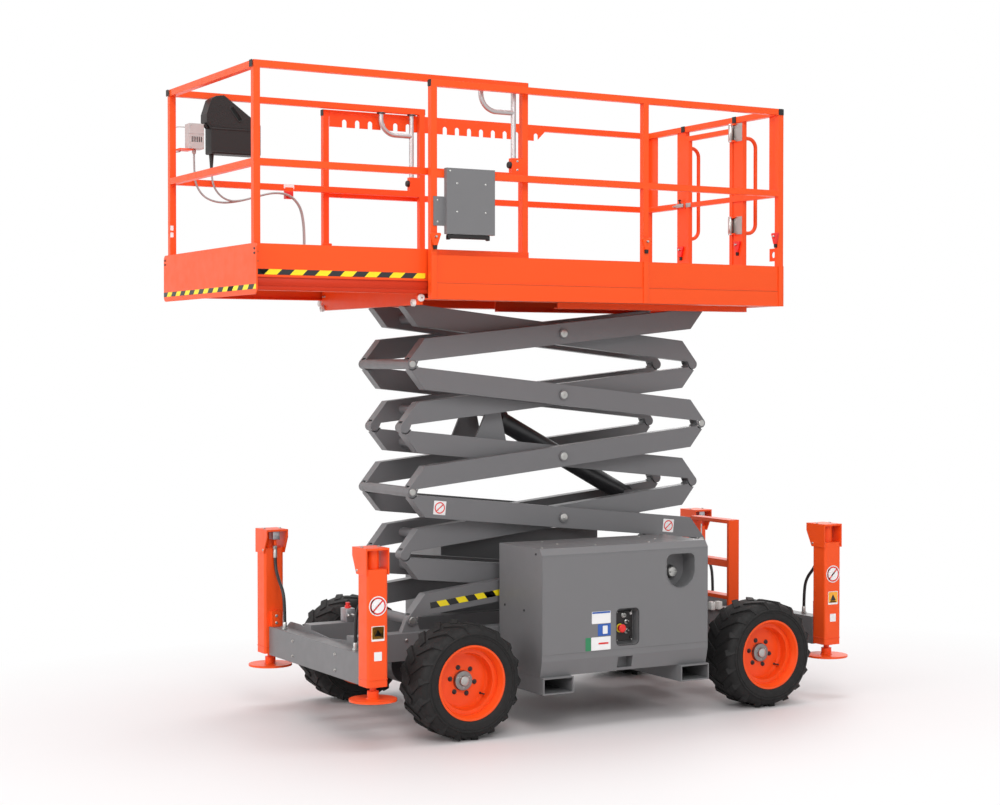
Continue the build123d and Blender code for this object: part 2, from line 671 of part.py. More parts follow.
# ------------------------------------------------------------------ platform
deck_low = floor_z - deck_depth
toe_top = floor_z + toe_height
with BuildPart() as deck_platform:
    block(deck_x, (-floor_half, floor_half), (floor_z - plate, floor_z))
    for side in SIDES:
        block(deck_x, mirrored((deck_y - plate, deck_y), side), (deck_low, floor_z + plate))
        block(deck_x, mirrored((deck_y - plate, deck_y - toe_set), side), (floor_z + plate, toe_top))
        block(deck_x, mirrored((floor_half - 16, deck_y), side), (deck_low, deck_low + plate))
        block(deck_x, mirrored((floor_half - 16, floor_half), side), (deck_low, floor_z))
        web = outer_y + arm_width / 2 + roller_gap + roller_width + rail_gap
        low, high = top_pin_z - roller_radius - rail_gap - rail_wall, top_pin_z + roller_radius + rail_gap
        block(deck_rail_x, mirrored((web, web + rail_wall), side), (low, high + rail_wall))
        for z in (low, high):
            block(deck_rail_x, mirrored((web - roller_width - rail_gap, web + rail_wall), side), (z, z + rail_wall))
        block(deck_rail_x, mirrored((web - 20, web), side), (high + rail_wall, floor_z - plate))
        for off in SIDES:
            mid = side * inner_y + off * (arm_width - cheek) / 2
            with BuildSketch(Plane.XZ.offset(-mid)):
                with BuildLine():
                    Polyline((base_pin_x - 60, floor_z - plate / 2), (base_pin_x - 28, top_pin_z - 11),
                             (base_pin_x + 28, top_pin_z - 11), (base_pin_x + 60, floor_z - plate / 2), close=True)
                make_face()
                with Locations((base_pin_x, top_pin_z)):
                    Circle(end_boss_radius)
            extrude(amount=cheek / 2, both=True)
        rod((base_pin_x, side * (inner_y - arm_width / 2), top_pin_z),
            (base_pin_x, side * (inner_y + arm_width / 2), top_pin_z), end_pin_radius)
    for x in deck_ribs:
        block((x - 20, x + 20), (-floor_half + 16, floor_half - 16), (floor_z - 40, floor_z - plate))
    block((deck_x[0], deck_x[0] + plate), (-deck_y, deck_y), (deck_low, floor_z))
    for side in SIDES:
        block((deck_x[0], deck_x[0] + plate), mirrored((gate_y[1], deck_y), side), (floor_z, toe_top))
    block((deck_x[1], deck_x[1] + 40), (-front_beam_half, front_beam_half), (floor_z - 120, floor_z))
    for side in SIDES:
        rod((deck_x[1] + 20, side * front_beam_half, floor_z - ext_drop - 22),
            (deck_x[1] + 20, side * (ext_y - plate - 2), floor_z - ext_drop - 22), 21.7)
keep(deck_platform.part, "deck_platform")

rail_in = deck_y - rail_tube
with BuildPart() as main_rails:
    for side in SIDES:
        across = mirrored((rail_in, deck_y), side)
        for x in post_x:
            block((max(x, deck_x[0] + plate), x + rail_tube), mirrored((rail_in, deck_y - plate), side),
                  (deck_low + plate, toe_top))
            block((x, x + rail_tube), across, (toe_top, floor_z + top_rail))
        for z in (mid_rail, top_rail):
            block(deck_x, across, (floor_z + z - rail_tube / 2, floor_z + z + rail_tube / 2))
    rear = (deck_x[0], deck_x[0] + rail_tube)
    for side in SIDES:
        post_y = mirrored((gate_y[1], gate_y[1] + post_width), side)
        block((deck_x[0] + plate, hinge_face), post_y, (floor_z, toe_top))
        block((deck_x[0], hinge_face), post_y, (toe_top, floor_z + top_rail))
        for z in (mid_rail, top_rail):
            block(rear, mirrored((gate_y[1], deck_y), side), (floor_z + z - rail_tube / 2, floor_z + z + rail_tube / 2))
        corner_plate = (deck_x[0] + 10, deck_x[0] + 10 + plate)
        block(corner_plate, mirrored((deck_y - gusset_width, deck_y - 10), side),
              (floor_z + mid_rail, floor_z + top_rail))
        middle = side * (gate_y[1] + post_width / 2)
        pipe([(deck_x[0] + reach, middle, floor_z + z) for reach, z in
              ((5, grab_z[1]), (-grab_reach, grab_z[1]), (-grab_reach, grab_z[0]), (5, grab_z[0]))],
             grab_radius, grab_bend)
    block(rear, (-deck_y, deck_y), (floor_z + top_rail - rail_tube / 2, floor_z + top_rail + rail_tube / 2))
    block(corner_plate, (anchor_y[0], anchor_y[1] + 5), (floor_z + anchor_z[0], floor_z + anchor_z[1]))
    anchor_eye = (sum(anchor_y) / 2, floor_z + sum(anchor_z) / 2)
    rod((corner_plate[0] - 1, *anchor_eye), (corner_plate[1] + 1, *anchor_eye), anchor_hole, mode=Mode.SUBTRACT)
    for z in hinge_z:
        block((hinge_face, hinge_face + 5), (gate_y[1], gate_y[1] + post_width),
              (floor_z + z - hinge_half - 11, floor_z + z + hinge_half + 11))
        for end in SIDES:
            low = floor_z + z + (hinge_half + 1 if end > 0 else -hinge_half - 11)
            block((hinge_face, hinge_x), (gate_y[1], gate_y[1] + 30), (low, low + 10))
            rod((hinge_x, gate_y[1] - 3, low), (hinge_x, gate_y[1] - 3, low + 10), 13)
        rod((hinge_x, gate_y[1] - 3, floor_z + z - hinge_half - 11),
            (hinge_x, gate_y[1] - 3, floor_z + z + hinge_half + 11), 8)
keep(main_rails.part, "main_rails")

with BuildPart() as gate:
    x = (deck_x[0] + 4, deck_x[0] + 34)
    for z in gate_z:
        block(x, (-gate_y[0], gate_y[0]), (floor_z + z - 16, floor_z + z + 16))
    for side in SIDES:
        block(x, mirrored((gate_y[0] - 32, gate_y[0]), side), (floor_z + gate_z[0] - 16, floor_z + gate_z[-1] + 16))
    for z in hinge_z:
        low, high = floor_z + z - hinge_half, floor_z + z + hinge_half
        block((x[1], hinge_x), (gate_y[0] - 22, gate_y[0] - 6), (low, high))
        rod((hinge_x, gate_y[1] - 3, low), (hinge_x, gate_y[1] - 3, high), 13)
        rod((hinge_x, gate_y[1] - 3, low), (hinge_x, gate_y[1] - 3, high), 8 + fit, mode=Mode.SUBTRACT)
keep(gate.part, "gate")

with BuildPart() as comb_rack:
    top = floor_z + top_rail
    low = top - comb_low
    with BuildSketch(Plane.XZ.offset(rail_in)):
        with BuildLine():
            Polyline((comb_x[0], top), (comb_x[1], top), (comb_x[1], low), (comb_x[0] + comb_low - rail_tube / 2, low),
                     (comb_x[0], top - rail_tube / 2), close=True)
        make_face()
        for x in [comb_end_slot] + [comb_first + count * comb_pitch for count in range(comb_slots)]:
            with Locations((x, low)):
                Rectangle(comb_slot[0], 2 * comb_slot[1] - comb_slot[0], mode=Mode.SUBTRACT)
            with Locations((x, low + comb_slot[1] - comb_slot[0] / 2)):
                Circle(comb_slot[0] / 2, mode=Mode.SUBTRACT)
    extrude(amount=-5)
keep(comb_rack.part, "comb_rack")

with BuildPart() as document_box:
    block(box_x, (deck_y, deck_y + box_depth), (floor_z + box_z[0], floor_z + box_z[1]))
    block((box_x[1], box_x[1] + box_tab[0]), (deck_y, deck_y + box_tab[1]), (floor_z + box_tab[2], floor_z + box_tab[3]))
keep(document_box.part, "document_box")

# ------------------------------------------------------------------ roll-out extension
with BuildPart() as extension_deck:
    block((ext_rear, ext_front - plate), (-ext_y, ext_y), (floor_z + 5, floor_z + 5 + 6))
    for side in SIDES:
        block((ext_rear, ext_front - plate), mirrored((ext_y, ext_y + plate), side), (floor_z - ext_drop, floor_z + ext_toe))
        block((ext_rear, ext_front - plate), mirrored((ext_y - 24, ext_y), side),
              (floor_z - ext_drop, floor_z - ext_drop + plate))
    with BuildSketch(Plane.YZ.offset(ext_front - plate)):
        with Locations((0, floor_z + (ext_toe - 81) / 2)):
            RectangleRounded(2 * front_plate_half, ext_toe + 81, 30)
    extrude(amount=plate)
    block((control_route[-1][0] - 15, control_route[-1][0] + 15), (-cable_y[1] - 10, -cable_y[0] + 10),
          (floor_z + 11, floor_z + 11 + floor_gland))
keep(extension_deck.part, "extension_deck")

ext_in = ext_y - rail_tube
with BuildPart() as extension_rails:
    for side in SIDES:
        across = mirrored((ext_in, ext_y), side)
        for x in (ext_front - plate - rail_tube, ext_rear):
            block((x, x + rail_tube), across, (floor_z + 11, floor_z + ext_top_rail))
        for z in (ext_mid_rail, ext_top_rail):
            block((ext_rear, ext_front - plate), across, (floor_z + z - rail_tube / 2, floor_z + z + rail_tube / 2))
        block((ext_rear + rail_tube, handle_x + handle_radius + 5), across,
              (floor_z + ext_mid_rail, floor_z + handle_foot))
    for z in (ext_mid_rail, ext_top_rail):
        block((ext_front - plate - rail_tube, ext_front - plate), (-ext_y, ext_y),
              (floor_z + z - rail_tube / 2, floor_z + z + rail_tube / 2))
    block((outlet_x[0] + 62, ext_front - plate - rail_tube), (-ext_y + 4, -ext_in + outlet_thick - 13),
          (floor_z + outlet_z[0] - plate, floor_z + outlet_z[0]))
    block(clip_x, (-ext_y + rail_tube / 2, -ext_in + 13), (floor_z + clip_low, floor_z + ext_mid_rail))
keep(extension_rails.part, "extension_rails")

with BuildPart() as push_handles:
    rail_under = ext_top_rail - rail_tube / 2
    for side in SIDES:
        y = side * (ext_y - rail_tube / 2)
        rod((handle_x, y, floor_z + handle_foot), (handle_x, y, floor_z + rail_under), handle_radius)
        branch = ((handle_x, y, floor_z + handle_branch), (handle_x + handle_forward, y, floor_z + handle_branch),
                  (handle_x + handle_forward, y, floor_z + rail_under))
        pipe(branch, handle_radius, handle_bend)
        for x in (handle_x, handle_x + handle_forward):
            rod((x, y, floor_z + rail_under - handle_flange[1]), (x, y, floor_z + rail_under), handle_flange[0])
keep(push_handles.part, "push_handles")

with BuildPart() as control_box:
    with BuildSketch(Plane.XZ.offset(ext_in)) as housing:
        with BuildLine():
            base_z = floor_z + control_low
            Polyline((control_x[1], base_z), *[(control_x[1] + x, base_z + z) for x, z in control_head],
                     (control_x[0], base_z + control_back), (control_x[0], base_z), close=True)
        make_face()
        fillet(housing.vertices(), 8)
        with Locations(Location((slot_middle[0], floor_z + slot_middle[1], 0), (0, 0, slot_angle))):
            SlotCenterToCenter(slot_size[0], slot_size[1], mode=Mode.SUBTRACT)
    extrude(amount=-control_thick)
    gland = (control_route[0][0], -cable_y[0])
    with Locations(Plane(origin=(*gland, floor_z + control_low + 1), z_dir=(0, 0, -1))):
        Cone(gland_radius[0], gland_radius[1], control_low + 1 - control_route[0][1],
             align=(Align.CENTER, Align.CENTER, Align.MIN))
keep(control_box.part, "control_box")

with BuildPart() as outlet_box:
    block(outlet_x, (-ext_in, -ext_in + outlet_thick), (floor_z + outlet_z[0], floor_z + outlet_z[1]))
    gland = (outlet_route[0][0], -cable_y[1])
    rod((*gland, floor_z + outlet_route[0][1]), (*gland, floor_z + outlet_z[0]), gland_radius[1])
keep(outlet_box.part, "outlet_box")

for name, route, y in (("control_cable", control_route, cable_y[0]), ("outlet_cable", outlet_route, cable_y[1])):
    cord([(x, -y, floor_z + z) for x, z in route], cable_radius, name)
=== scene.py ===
import json
from math import atan2, cos, pi, radians, sin, sqrt

import bmesh
import bpy
from mathutils import Matrix, Vector


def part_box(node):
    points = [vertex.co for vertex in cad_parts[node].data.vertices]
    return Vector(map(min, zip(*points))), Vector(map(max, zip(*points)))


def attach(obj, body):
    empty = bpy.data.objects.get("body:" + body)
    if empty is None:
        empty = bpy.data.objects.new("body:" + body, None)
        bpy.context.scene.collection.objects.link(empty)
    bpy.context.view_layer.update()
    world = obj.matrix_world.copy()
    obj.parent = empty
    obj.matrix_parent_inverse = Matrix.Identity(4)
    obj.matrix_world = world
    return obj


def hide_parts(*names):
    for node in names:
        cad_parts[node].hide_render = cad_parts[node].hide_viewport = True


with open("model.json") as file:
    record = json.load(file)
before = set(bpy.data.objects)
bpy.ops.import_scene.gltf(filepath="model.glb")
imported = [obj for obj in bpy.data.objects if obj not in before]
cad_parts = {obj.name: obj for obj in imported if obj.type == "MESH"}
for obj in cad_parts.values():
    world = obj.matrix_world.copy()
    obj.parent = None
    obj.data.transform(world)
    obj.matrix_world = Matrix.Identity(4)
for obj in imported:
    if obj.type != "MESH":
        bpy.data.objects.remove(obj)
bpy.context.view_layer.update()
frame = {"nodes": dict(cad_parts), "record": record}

# Everything is in metres: +X forward, +Y left, +Z up, origin on the ground.
# ---- where things are
LOW = {name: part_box(name)[0] for name in frame["nodes"]}
HIGH = {name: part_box(name)[1] for name in frame["nodes"]}
X, Y, Z = Vector((1, 0, 0)), Vector((0, 1, 0)), Vector((0, 0, 1))
SIDES = (1, -1)
CORNERS = (("fl", 1, 1), ("fr", 1, -1), ("rl", -1, 1), ("rr", -1, -1))  # name, end, side
MID = (LOW["rim_fl"].x + HIGH["rim_fl"].x + LOW["rim_rl"].x + HIGH["rim_rl"].x) / 4
TOE_BOARD = 0.159
FLOOR = HIGH["deck_platform"].z - TOE_BOARD  # the top of the platform's floor
OFF, STRIPE_OFF = 0.0002, 0.0003  # how far trim and stripes stand off the face they lie on
LABEL, INK = 0.0006, 0.0004  # thickness of a label and of what is printed on it

# wheels and jacks
AXLE_X, AXLE_Z = 1.06, 0.33
HUB_FACE, TYRE_Y, KINGPIN_Y = 0.7402, 0.7175, 0.600
JACK_X, JACK_Y = 1.6155, 0.7225
JACK_INBOARD, JACK_OUTBOARD = 0.624, 0.786

# arms, where the offset is how far the middle pin lies from the line between the end pins
LINE = 2.110  # between the pins at an arm's ends
PIN_ANGLE = radians(10.24)
RISE, SPREAD = LINE * sin(PIN_ANGLE), LINE * cos(PIN_ANGLE)
BASE_X, BASE_Z = 1.165, 0.630
ARM_OFFSET, ARM_FACE, PIN_HEAD = 0.0775, 0.330, 0.3405
BODY_ANGLE = PIN_ANGLE - atan2(ARM_OFFSET, sqrt((LINE / 2) ** 2 - ARM_OFFSET ** 2))

# left module, whose cover is SKIN thick
SKIN_FOOT, SKIN_TOP, SKIN = 0.448, 1.018, 0.0018
PANEL_X, PANEL_Z, PANEL_DEPTH = 0.009, 0.578, 0.038
FILLER_X = -0.374

# platform, with heights over its floor
DECK_REAR, DECK_FRONT, DECK_Y = -1.243, 1.257, 0.740
EXT_REAR, EXT_FRONT, EXT_Y, EXT_SIDE = 0.578, 2.303, 0.664, 0.672
TOP_RAIL, MID_RAIL, EXT_RAIL = 1.125, 0.615, 1.162
POST_FRONT, POST_MIDDLE, GATE_POST = 1.238, -0.202, 0.313
TUBE = 0.038
HINGES, HINGE_X, HINGE_LEAF = (0.442, 1.043), DECK_REAR + 0.052, 0.0008
SLOT_TURN = radians(52)

# cord routes: out from the middle and up for a hose, forward and up from the floor for a cable
HOSE_ROUTE = ((0.645, 0.975), (0.645, 0.893), (0.600, 0.815), (0.515, 0.735), (0.497, 0.628), (0.497, 0.522))
CABLE_END = ((1.630, 0.599), (1.530, 0.587), (1.464, 0.525), (1.440, 0.430), (1.434, 0.302), (1.440, 0.160),
             (1.440, 0.021))
CONTROL_ROUTE = ((2.045, 0.725), (2.045, 0.645), (2.003, 0.567), (1.930, 0.529), (1.840, 0.539),
                 (1.750, 0.568)) + CABLE_END
OUTLET_ROUTE = ((2.151, 0.810), (2.151, 0.715), (2.140, 0.615), (2.085, 0.543), (1.985, 0.517),
                (1.870, 0.531), (1.750, 0.567)) + CABLE_END
CONTROL_Y, OUTLET_Y = -0.594, -0.6065


def placed(name, data):
    """A new object in the scene."""
    made = bpy.data.objects.new(name, data)
    bpy.context.scene.collection.objects.link(made)
    return made


def at(x, y, z):
    """A place given from the middle between the axles."""
    return Vector((MID + x, y, z))


def on_deck(x, y, z):
    """The same, with its height given from the platform's floor."""
    return at(x, y, FLOOR + z)


def span(side, near, far):
    """Two distances from the middle plane as a low and a high y on that side."""
    return sorted((side * near, side * far))


def around(radius, degrees, level=X):
    """A step out from an axis that runs along y."""
    angle = radians(degrees)
    return level * radius * cos(angle) + Z * radius * sin(angle)


# ---- camera, floor and light
CAMERA_AT = Vector((5.9429, 10.1083, 2.1128))
CAMERA_AZIMUTH = radians(150)
CAMERA_DOWN = 0.0188
BACKDROP = (1.0, 1.0, 1.0, 1)
LIGHTS = (("key", (4, 10, 8), (0, 0, 1.6), (5, 5), 560), ("top", (0, 0, 11), (0, 0, 1.5), (9, 9), 640),
          ("front", (11, 1, 5), (0, 0, 1.6), (6, 5), 420), ("back", (-8, -7, 7), (0, 0, 2), (6, 5), 260))


def make_camera():
    data = bpy.data.cameras.new("camera")
    data.sensor_width = 36
    data.lens = 67.8
    data.clip_end = 200
    camera = placed("camera", data)
    camera.location = CAMERA_AT
    flat = cos(CAMERA_DOWN)
    look = Vector((-sin(CAMERA_AZIMUTH) * flat, cos(CAMERA_AZIMUTH) * flat, -sin(CAMERA_DOWN)))
    camera.rotation_euler = look.to_track_quat("-Z", "Y").to_euler()
    bpy.context.scene.camera = camera


def area_light(name, place, target, size, power):
    data = bpy.data.lights.new(name, "AREA")
    data.shape = "RECTANGLE"
    data.size, data.size_y = size
    data.energy = power
    light = placed(name, data)
    light.location = place
    light.rotation_euler = (Vector(target) - Vector(place)).to_track_quat("-Z", "Y").to_euler()


def make_stage():
    scene = bpy.context.scene
    scene.view_settings.view_transform = "Standard"
    world = bpy.data.worlds.new("studio")
    scene.world = world
    tree = Tree(world)
    tree.nodes.clear()
    lighting = tree.add("Background", Color=(1, 1, 1, 1), Strength=0.55)
    shown = tree.add("Background", Color=BACKDROP)
    tree.add("OutputWorld", tree.mixed(tree.seen_directly(), lighting, shown))

    mesh = bpy.data.meshes.new("floor")
    reach = 60
    mesh.from_pydata([(-reach, -reach, 0), (reach, -reach, 0), (reach, reach, 0), (-reach, reach, 0)], [],
                     [(0, 1, 2, 3)])
    mesh.materials.append(floor_material())
    floor = placed("floor", mesh)
    for light in LIGHTS:
        area_light(*light)


# ---- materials
class Tree:
    """A material's or world's nodes, with short ways to add them."""

    def __init__(self, owner):
        owner.use_nodes = True
        self.owner, self.nodes, self.links = owner, owner.node_tree.nodes, owner.node_tree.links
        self.principled = self.nodes.get("Principled BSDF")

    def put(self, node, **values):
        """Numbers or links for a node's sockets, whose names are written with underscores."""
        for name, value in values.items():
            socket = node.inputs[name.replace("_", " ")]
            if isinstance(value, bpy.types.NodeSocket):
                self.links.new(value, socket)
            else:
                socket.default_value = value
        return node

    def add(self, kind, *sources, operation=None, **values):
        """A node whose first sockets are linked to the sources, and others set by name."""
        node = self.nodes.new("ShaderNode" + kind)
        if operation:
            node.operation = operation
        for socket, source in zip(node.inputs, sources):
            self.links.new(source, socket)
        return self.put(node, **values)

    def mixed(self, share, one, two):
        return self.add("MixShader", share, one.outputs[0], two.outputs[0]).outputs[0]

    def seen_directly(self):
        """1 for rays from the camera or off gloss and through glass, which see the plain backdrop."""
        path = self.add("LightPath")
        total = path.outputs["Is Camera Ray"]
        for kind in ("Is Glossy Ray", "Is Transmission Ray"):
            total = self.add("Math", total, path.outputs[kind], operation="MAXIMUM").outputs[0]
        return total

    def noise(self, scale, detail=3.0):
        """A noise pattern laid out in object space, in metres."""
        place = self.add("TexCoord").outputs["Object"]
        return self.add("TexNoise", Vector=place, Scale=scale, Detail=detail).outputs["Fac"]

    def remap(self, value, low, high, out_low, out_high):
        return self.add("MapRange", Value=value, From_Min=low, From_Max=high, To_Min=out_low,
                        To_Max=out_high).outputs["Result"]

    def uneven(self, scale, low, high):
        """A roughness that wanders between two values."""
        self.put(self.principled, Roughness=self.remap(self.noise(scale), 0.3, 0.7, low, high))

    def relief(self, scale, detail, strength, distance, rounding):
        """Fine bumps, and edges that look rounded."""
        bevel = self.add("Bevel", Radius=rounding)
        bevel.samples = 4
        bump = self.add("Bump", Strength=strength, Distance=distance, Height=self.noise(scale, detail),
                        Normal=bevel.outputs["Normal"])
        self.put(self.principled, Normal=bump.outputs["Normal"])


def shade_of(colour, factor):
    return tuple(min(1.0, c * factor) for c in colour[:3]) + (1,)


def shader(name, colour, amount, scale, **values):
    """A material whose colour drifts softly between two close shades."""
    tree = Tree(bpy.data.materials.new(name))
    shades = tree.add("Mix")
    shades.data_type = "RGBA"
    tree.put(shades, Factor=tree.noise(scale), A=shade_of(colour, 1 - amount), B=shade_of(colour, 1 + amount))
    tree.put(tree.principled, Base_Color=shades.outputs["Result"], **values)
    return tree


def paint(name, colour, roughness, coat, gloss=0.5):
    """Powder coat or paint on steel, with a faint orange peel."""
    tree = shader(name, colour, 0.035, 2.5, Specular_IOR_Level=gloss, Coat_Weight=coat, Coat_Roughness=0.18)
    tree.uneven(14, roughness - 0.05, roughness + 0.06)
    tree.relief(900, 2, 0.15, 0.0004, 0.004)
    return tree.owner


def plastic(name, colour, roughness=0.5, grain=0.25, gloss=0.5, cell=1600):
    tree = shader(name, colour, 0.05, 20, Roughness=roughness, Specular_IOR_Level=gloss)
    tree.relief(cell, 4, grain, 0.5 / cell, 0.004)
    return tree.owner


def rubber(name, colour, roughness=0.7, gloss=0.5):
    tree = shader(name, colour, 0.18, 9, Specular_IOR_Level=gloss)
    tree.uneven(30, roughness - 0.08, roughness + 0.1)
    tree.relief(240, 5, 0.3, 0.0012, 0.005)
    return tree.owner


def metal(name, colour, roughness):
    tree = shader(name, colour, 0.06, 30, Metallic=1)
    tree.uneven(120, roughness - 0.05, roughness + 0.08)
    tree.relief(700, 3, 0.1, 0.0003, 0.002)
    return tree.owner


def floor_material():
    """White floor that takes the object's shadow and turns into the plain backdrop further out."""
    tree = shader("floor_white", (0.74, 0.705, 0.71), 0.01, 0.6, Roughness=0.55, Specular_IOR_Level=0.3)
    flat = tree.add("VectorMath", tree.add("TexCoord").outputs["Object"], operation="MULTIPLY")
    flat.inputs[1].default_value = (0.72, 1.0, 0.0)
    away = tree.add("VectorMath", flat.outputs[0], operation="LENGTH").outputs["Value"]
    share = tree.add("Math", tree.remap(away, 1.3, 3.6, 0.0, 1.0), tree.seen_directly(), operation="MULTIPLY")
    glow = tree.add("Emission", Color=BACKDROP)
    tree.put(tree.nodes["Material Output"], Surface=tree.mixed(share.outputs[0], tree.principled, glow))
    return tree.owner


ORANGE = (0.92, 0.087, 0.009)
MATERIAL_LIST = (
    (paint, "orange_paint", ORANGE, 0.40, 0.12, 0.28),
    (paint, "grey_paint", (0.165, 0.165, 0.170), 0.45, 0.1),
    (paint, "arm_paint", (0.152, 0.152, 0.158), 0.42, 0.15),
    (paint, "black_metal", (0.02, 0.02, 0.022), 0.4, 0.2),
    (metal, "chrome", (0.62, 0.62, 0.63), 0.16),
    (rubber, "tyre_rubber", (0.014, 0.0135, 0.0135), 0.7, 0.3),
    (plastic, "black_plastic", (0.016, 0.0135, 0.0135), 0.5, 0.25, 0.35),
    (plastic, "rough_plastic", (0.015, 0.013, 0.013), 0.62, 1.0, 0.35, 150),
    (plastic, "pale_plastic", (0.50, 0.48, 0.47), 0.4),
    (rubber, "grey_rubber", (0.35, 0.35, 0.35), 0.5),
    (rubber, "black_rubber", (0.012, 0.012, 0.013), 0.45),
    (metal, "zinc", (0.46, 0.455, 0.44), 0.34),
    (paint, "yellow", (0.95, 0.76, 0.01), 0.45, 0.1),
    (paint, "black", (0.012, 0.012, 0.014), 0.45, 0.1),
    (paint, "white", (0.86, 0.86, 0.86), 0.5, 0.1),
    # painted shade: a darker copy of the orange that stands in for the shadow under the extension's skirt
    (paint, "shaded_orange", (0.56, 0.034, 0.008), 0.5, 0.0, 0.2),
    (paint, "seam_paint", shade_of(ORANGE, 0.45), 0.5, 0.0),
    (plastic, "red", (0.75, 0.02, 0.015), 0.35),
    (paint, "blue", (0.02, 0.10, 0.42), 0.5, 0.1),
    (paint, "green", (0.02, 0.22, 0.09), 0.5, 0.1),
    (paint, "amber", (0.95, 0.42, 0.03), 0.5, 0.1),
    (metal, "hub_grey", (0.27, 0.265, 0.26), 0.48),
    (metal, "port_grey", (0.45, 0.45, 0.47), 0.4),
    (metal, "handle_metal", (0.50, 0.47, 0.47), 0.46),
    (plastic, "roller_nylon", (0.80, 0.79, 0.76), 0.4))


# ---- small forms
def facing(origin, axis, turn):
    """A matrix that puts its z axis along axis at origin, with x level where that can be."""
    axis = Vector(axis).normalized()
    side = Z.cross(axis)
    side = side.normalized() if side.length > 1e-4 else X.copy()
    up = axis.cross(side)
    turned = Matrix((side, up, axis)).transposed().to_4x4()
    return Matrix.Translation(origin) @ turned @ Matrix.Rotation(turn, 4, "Z")


def closed(*rings):
    """A turned form's profile of (radius, height), with flat ends that reach the axis."""
    return ((0, rings[0][1]), *rings, (0, rings[-1][1]))


def capped(*rings):
    """The same with its foot left open."""
    return (*rings, (0, rings[-1][1]))


WASHER = closed((1.15, 0), (1.15, 0.18), (1.05, 0.24))
HEXAGON = closed((0.92, 0), (0.92, 0.5), (0.76, 0.62))
STUD_END = closed((0.45, 0), (0.45, 0.5), (0.38, 0.6))
RIVET = ((1, 0), (0.92, 0.22), (0.62, 0.42), (0, 0.5))


def scaled(profile, size):
    return [(size * radius, size * height) for radius, height in profile]


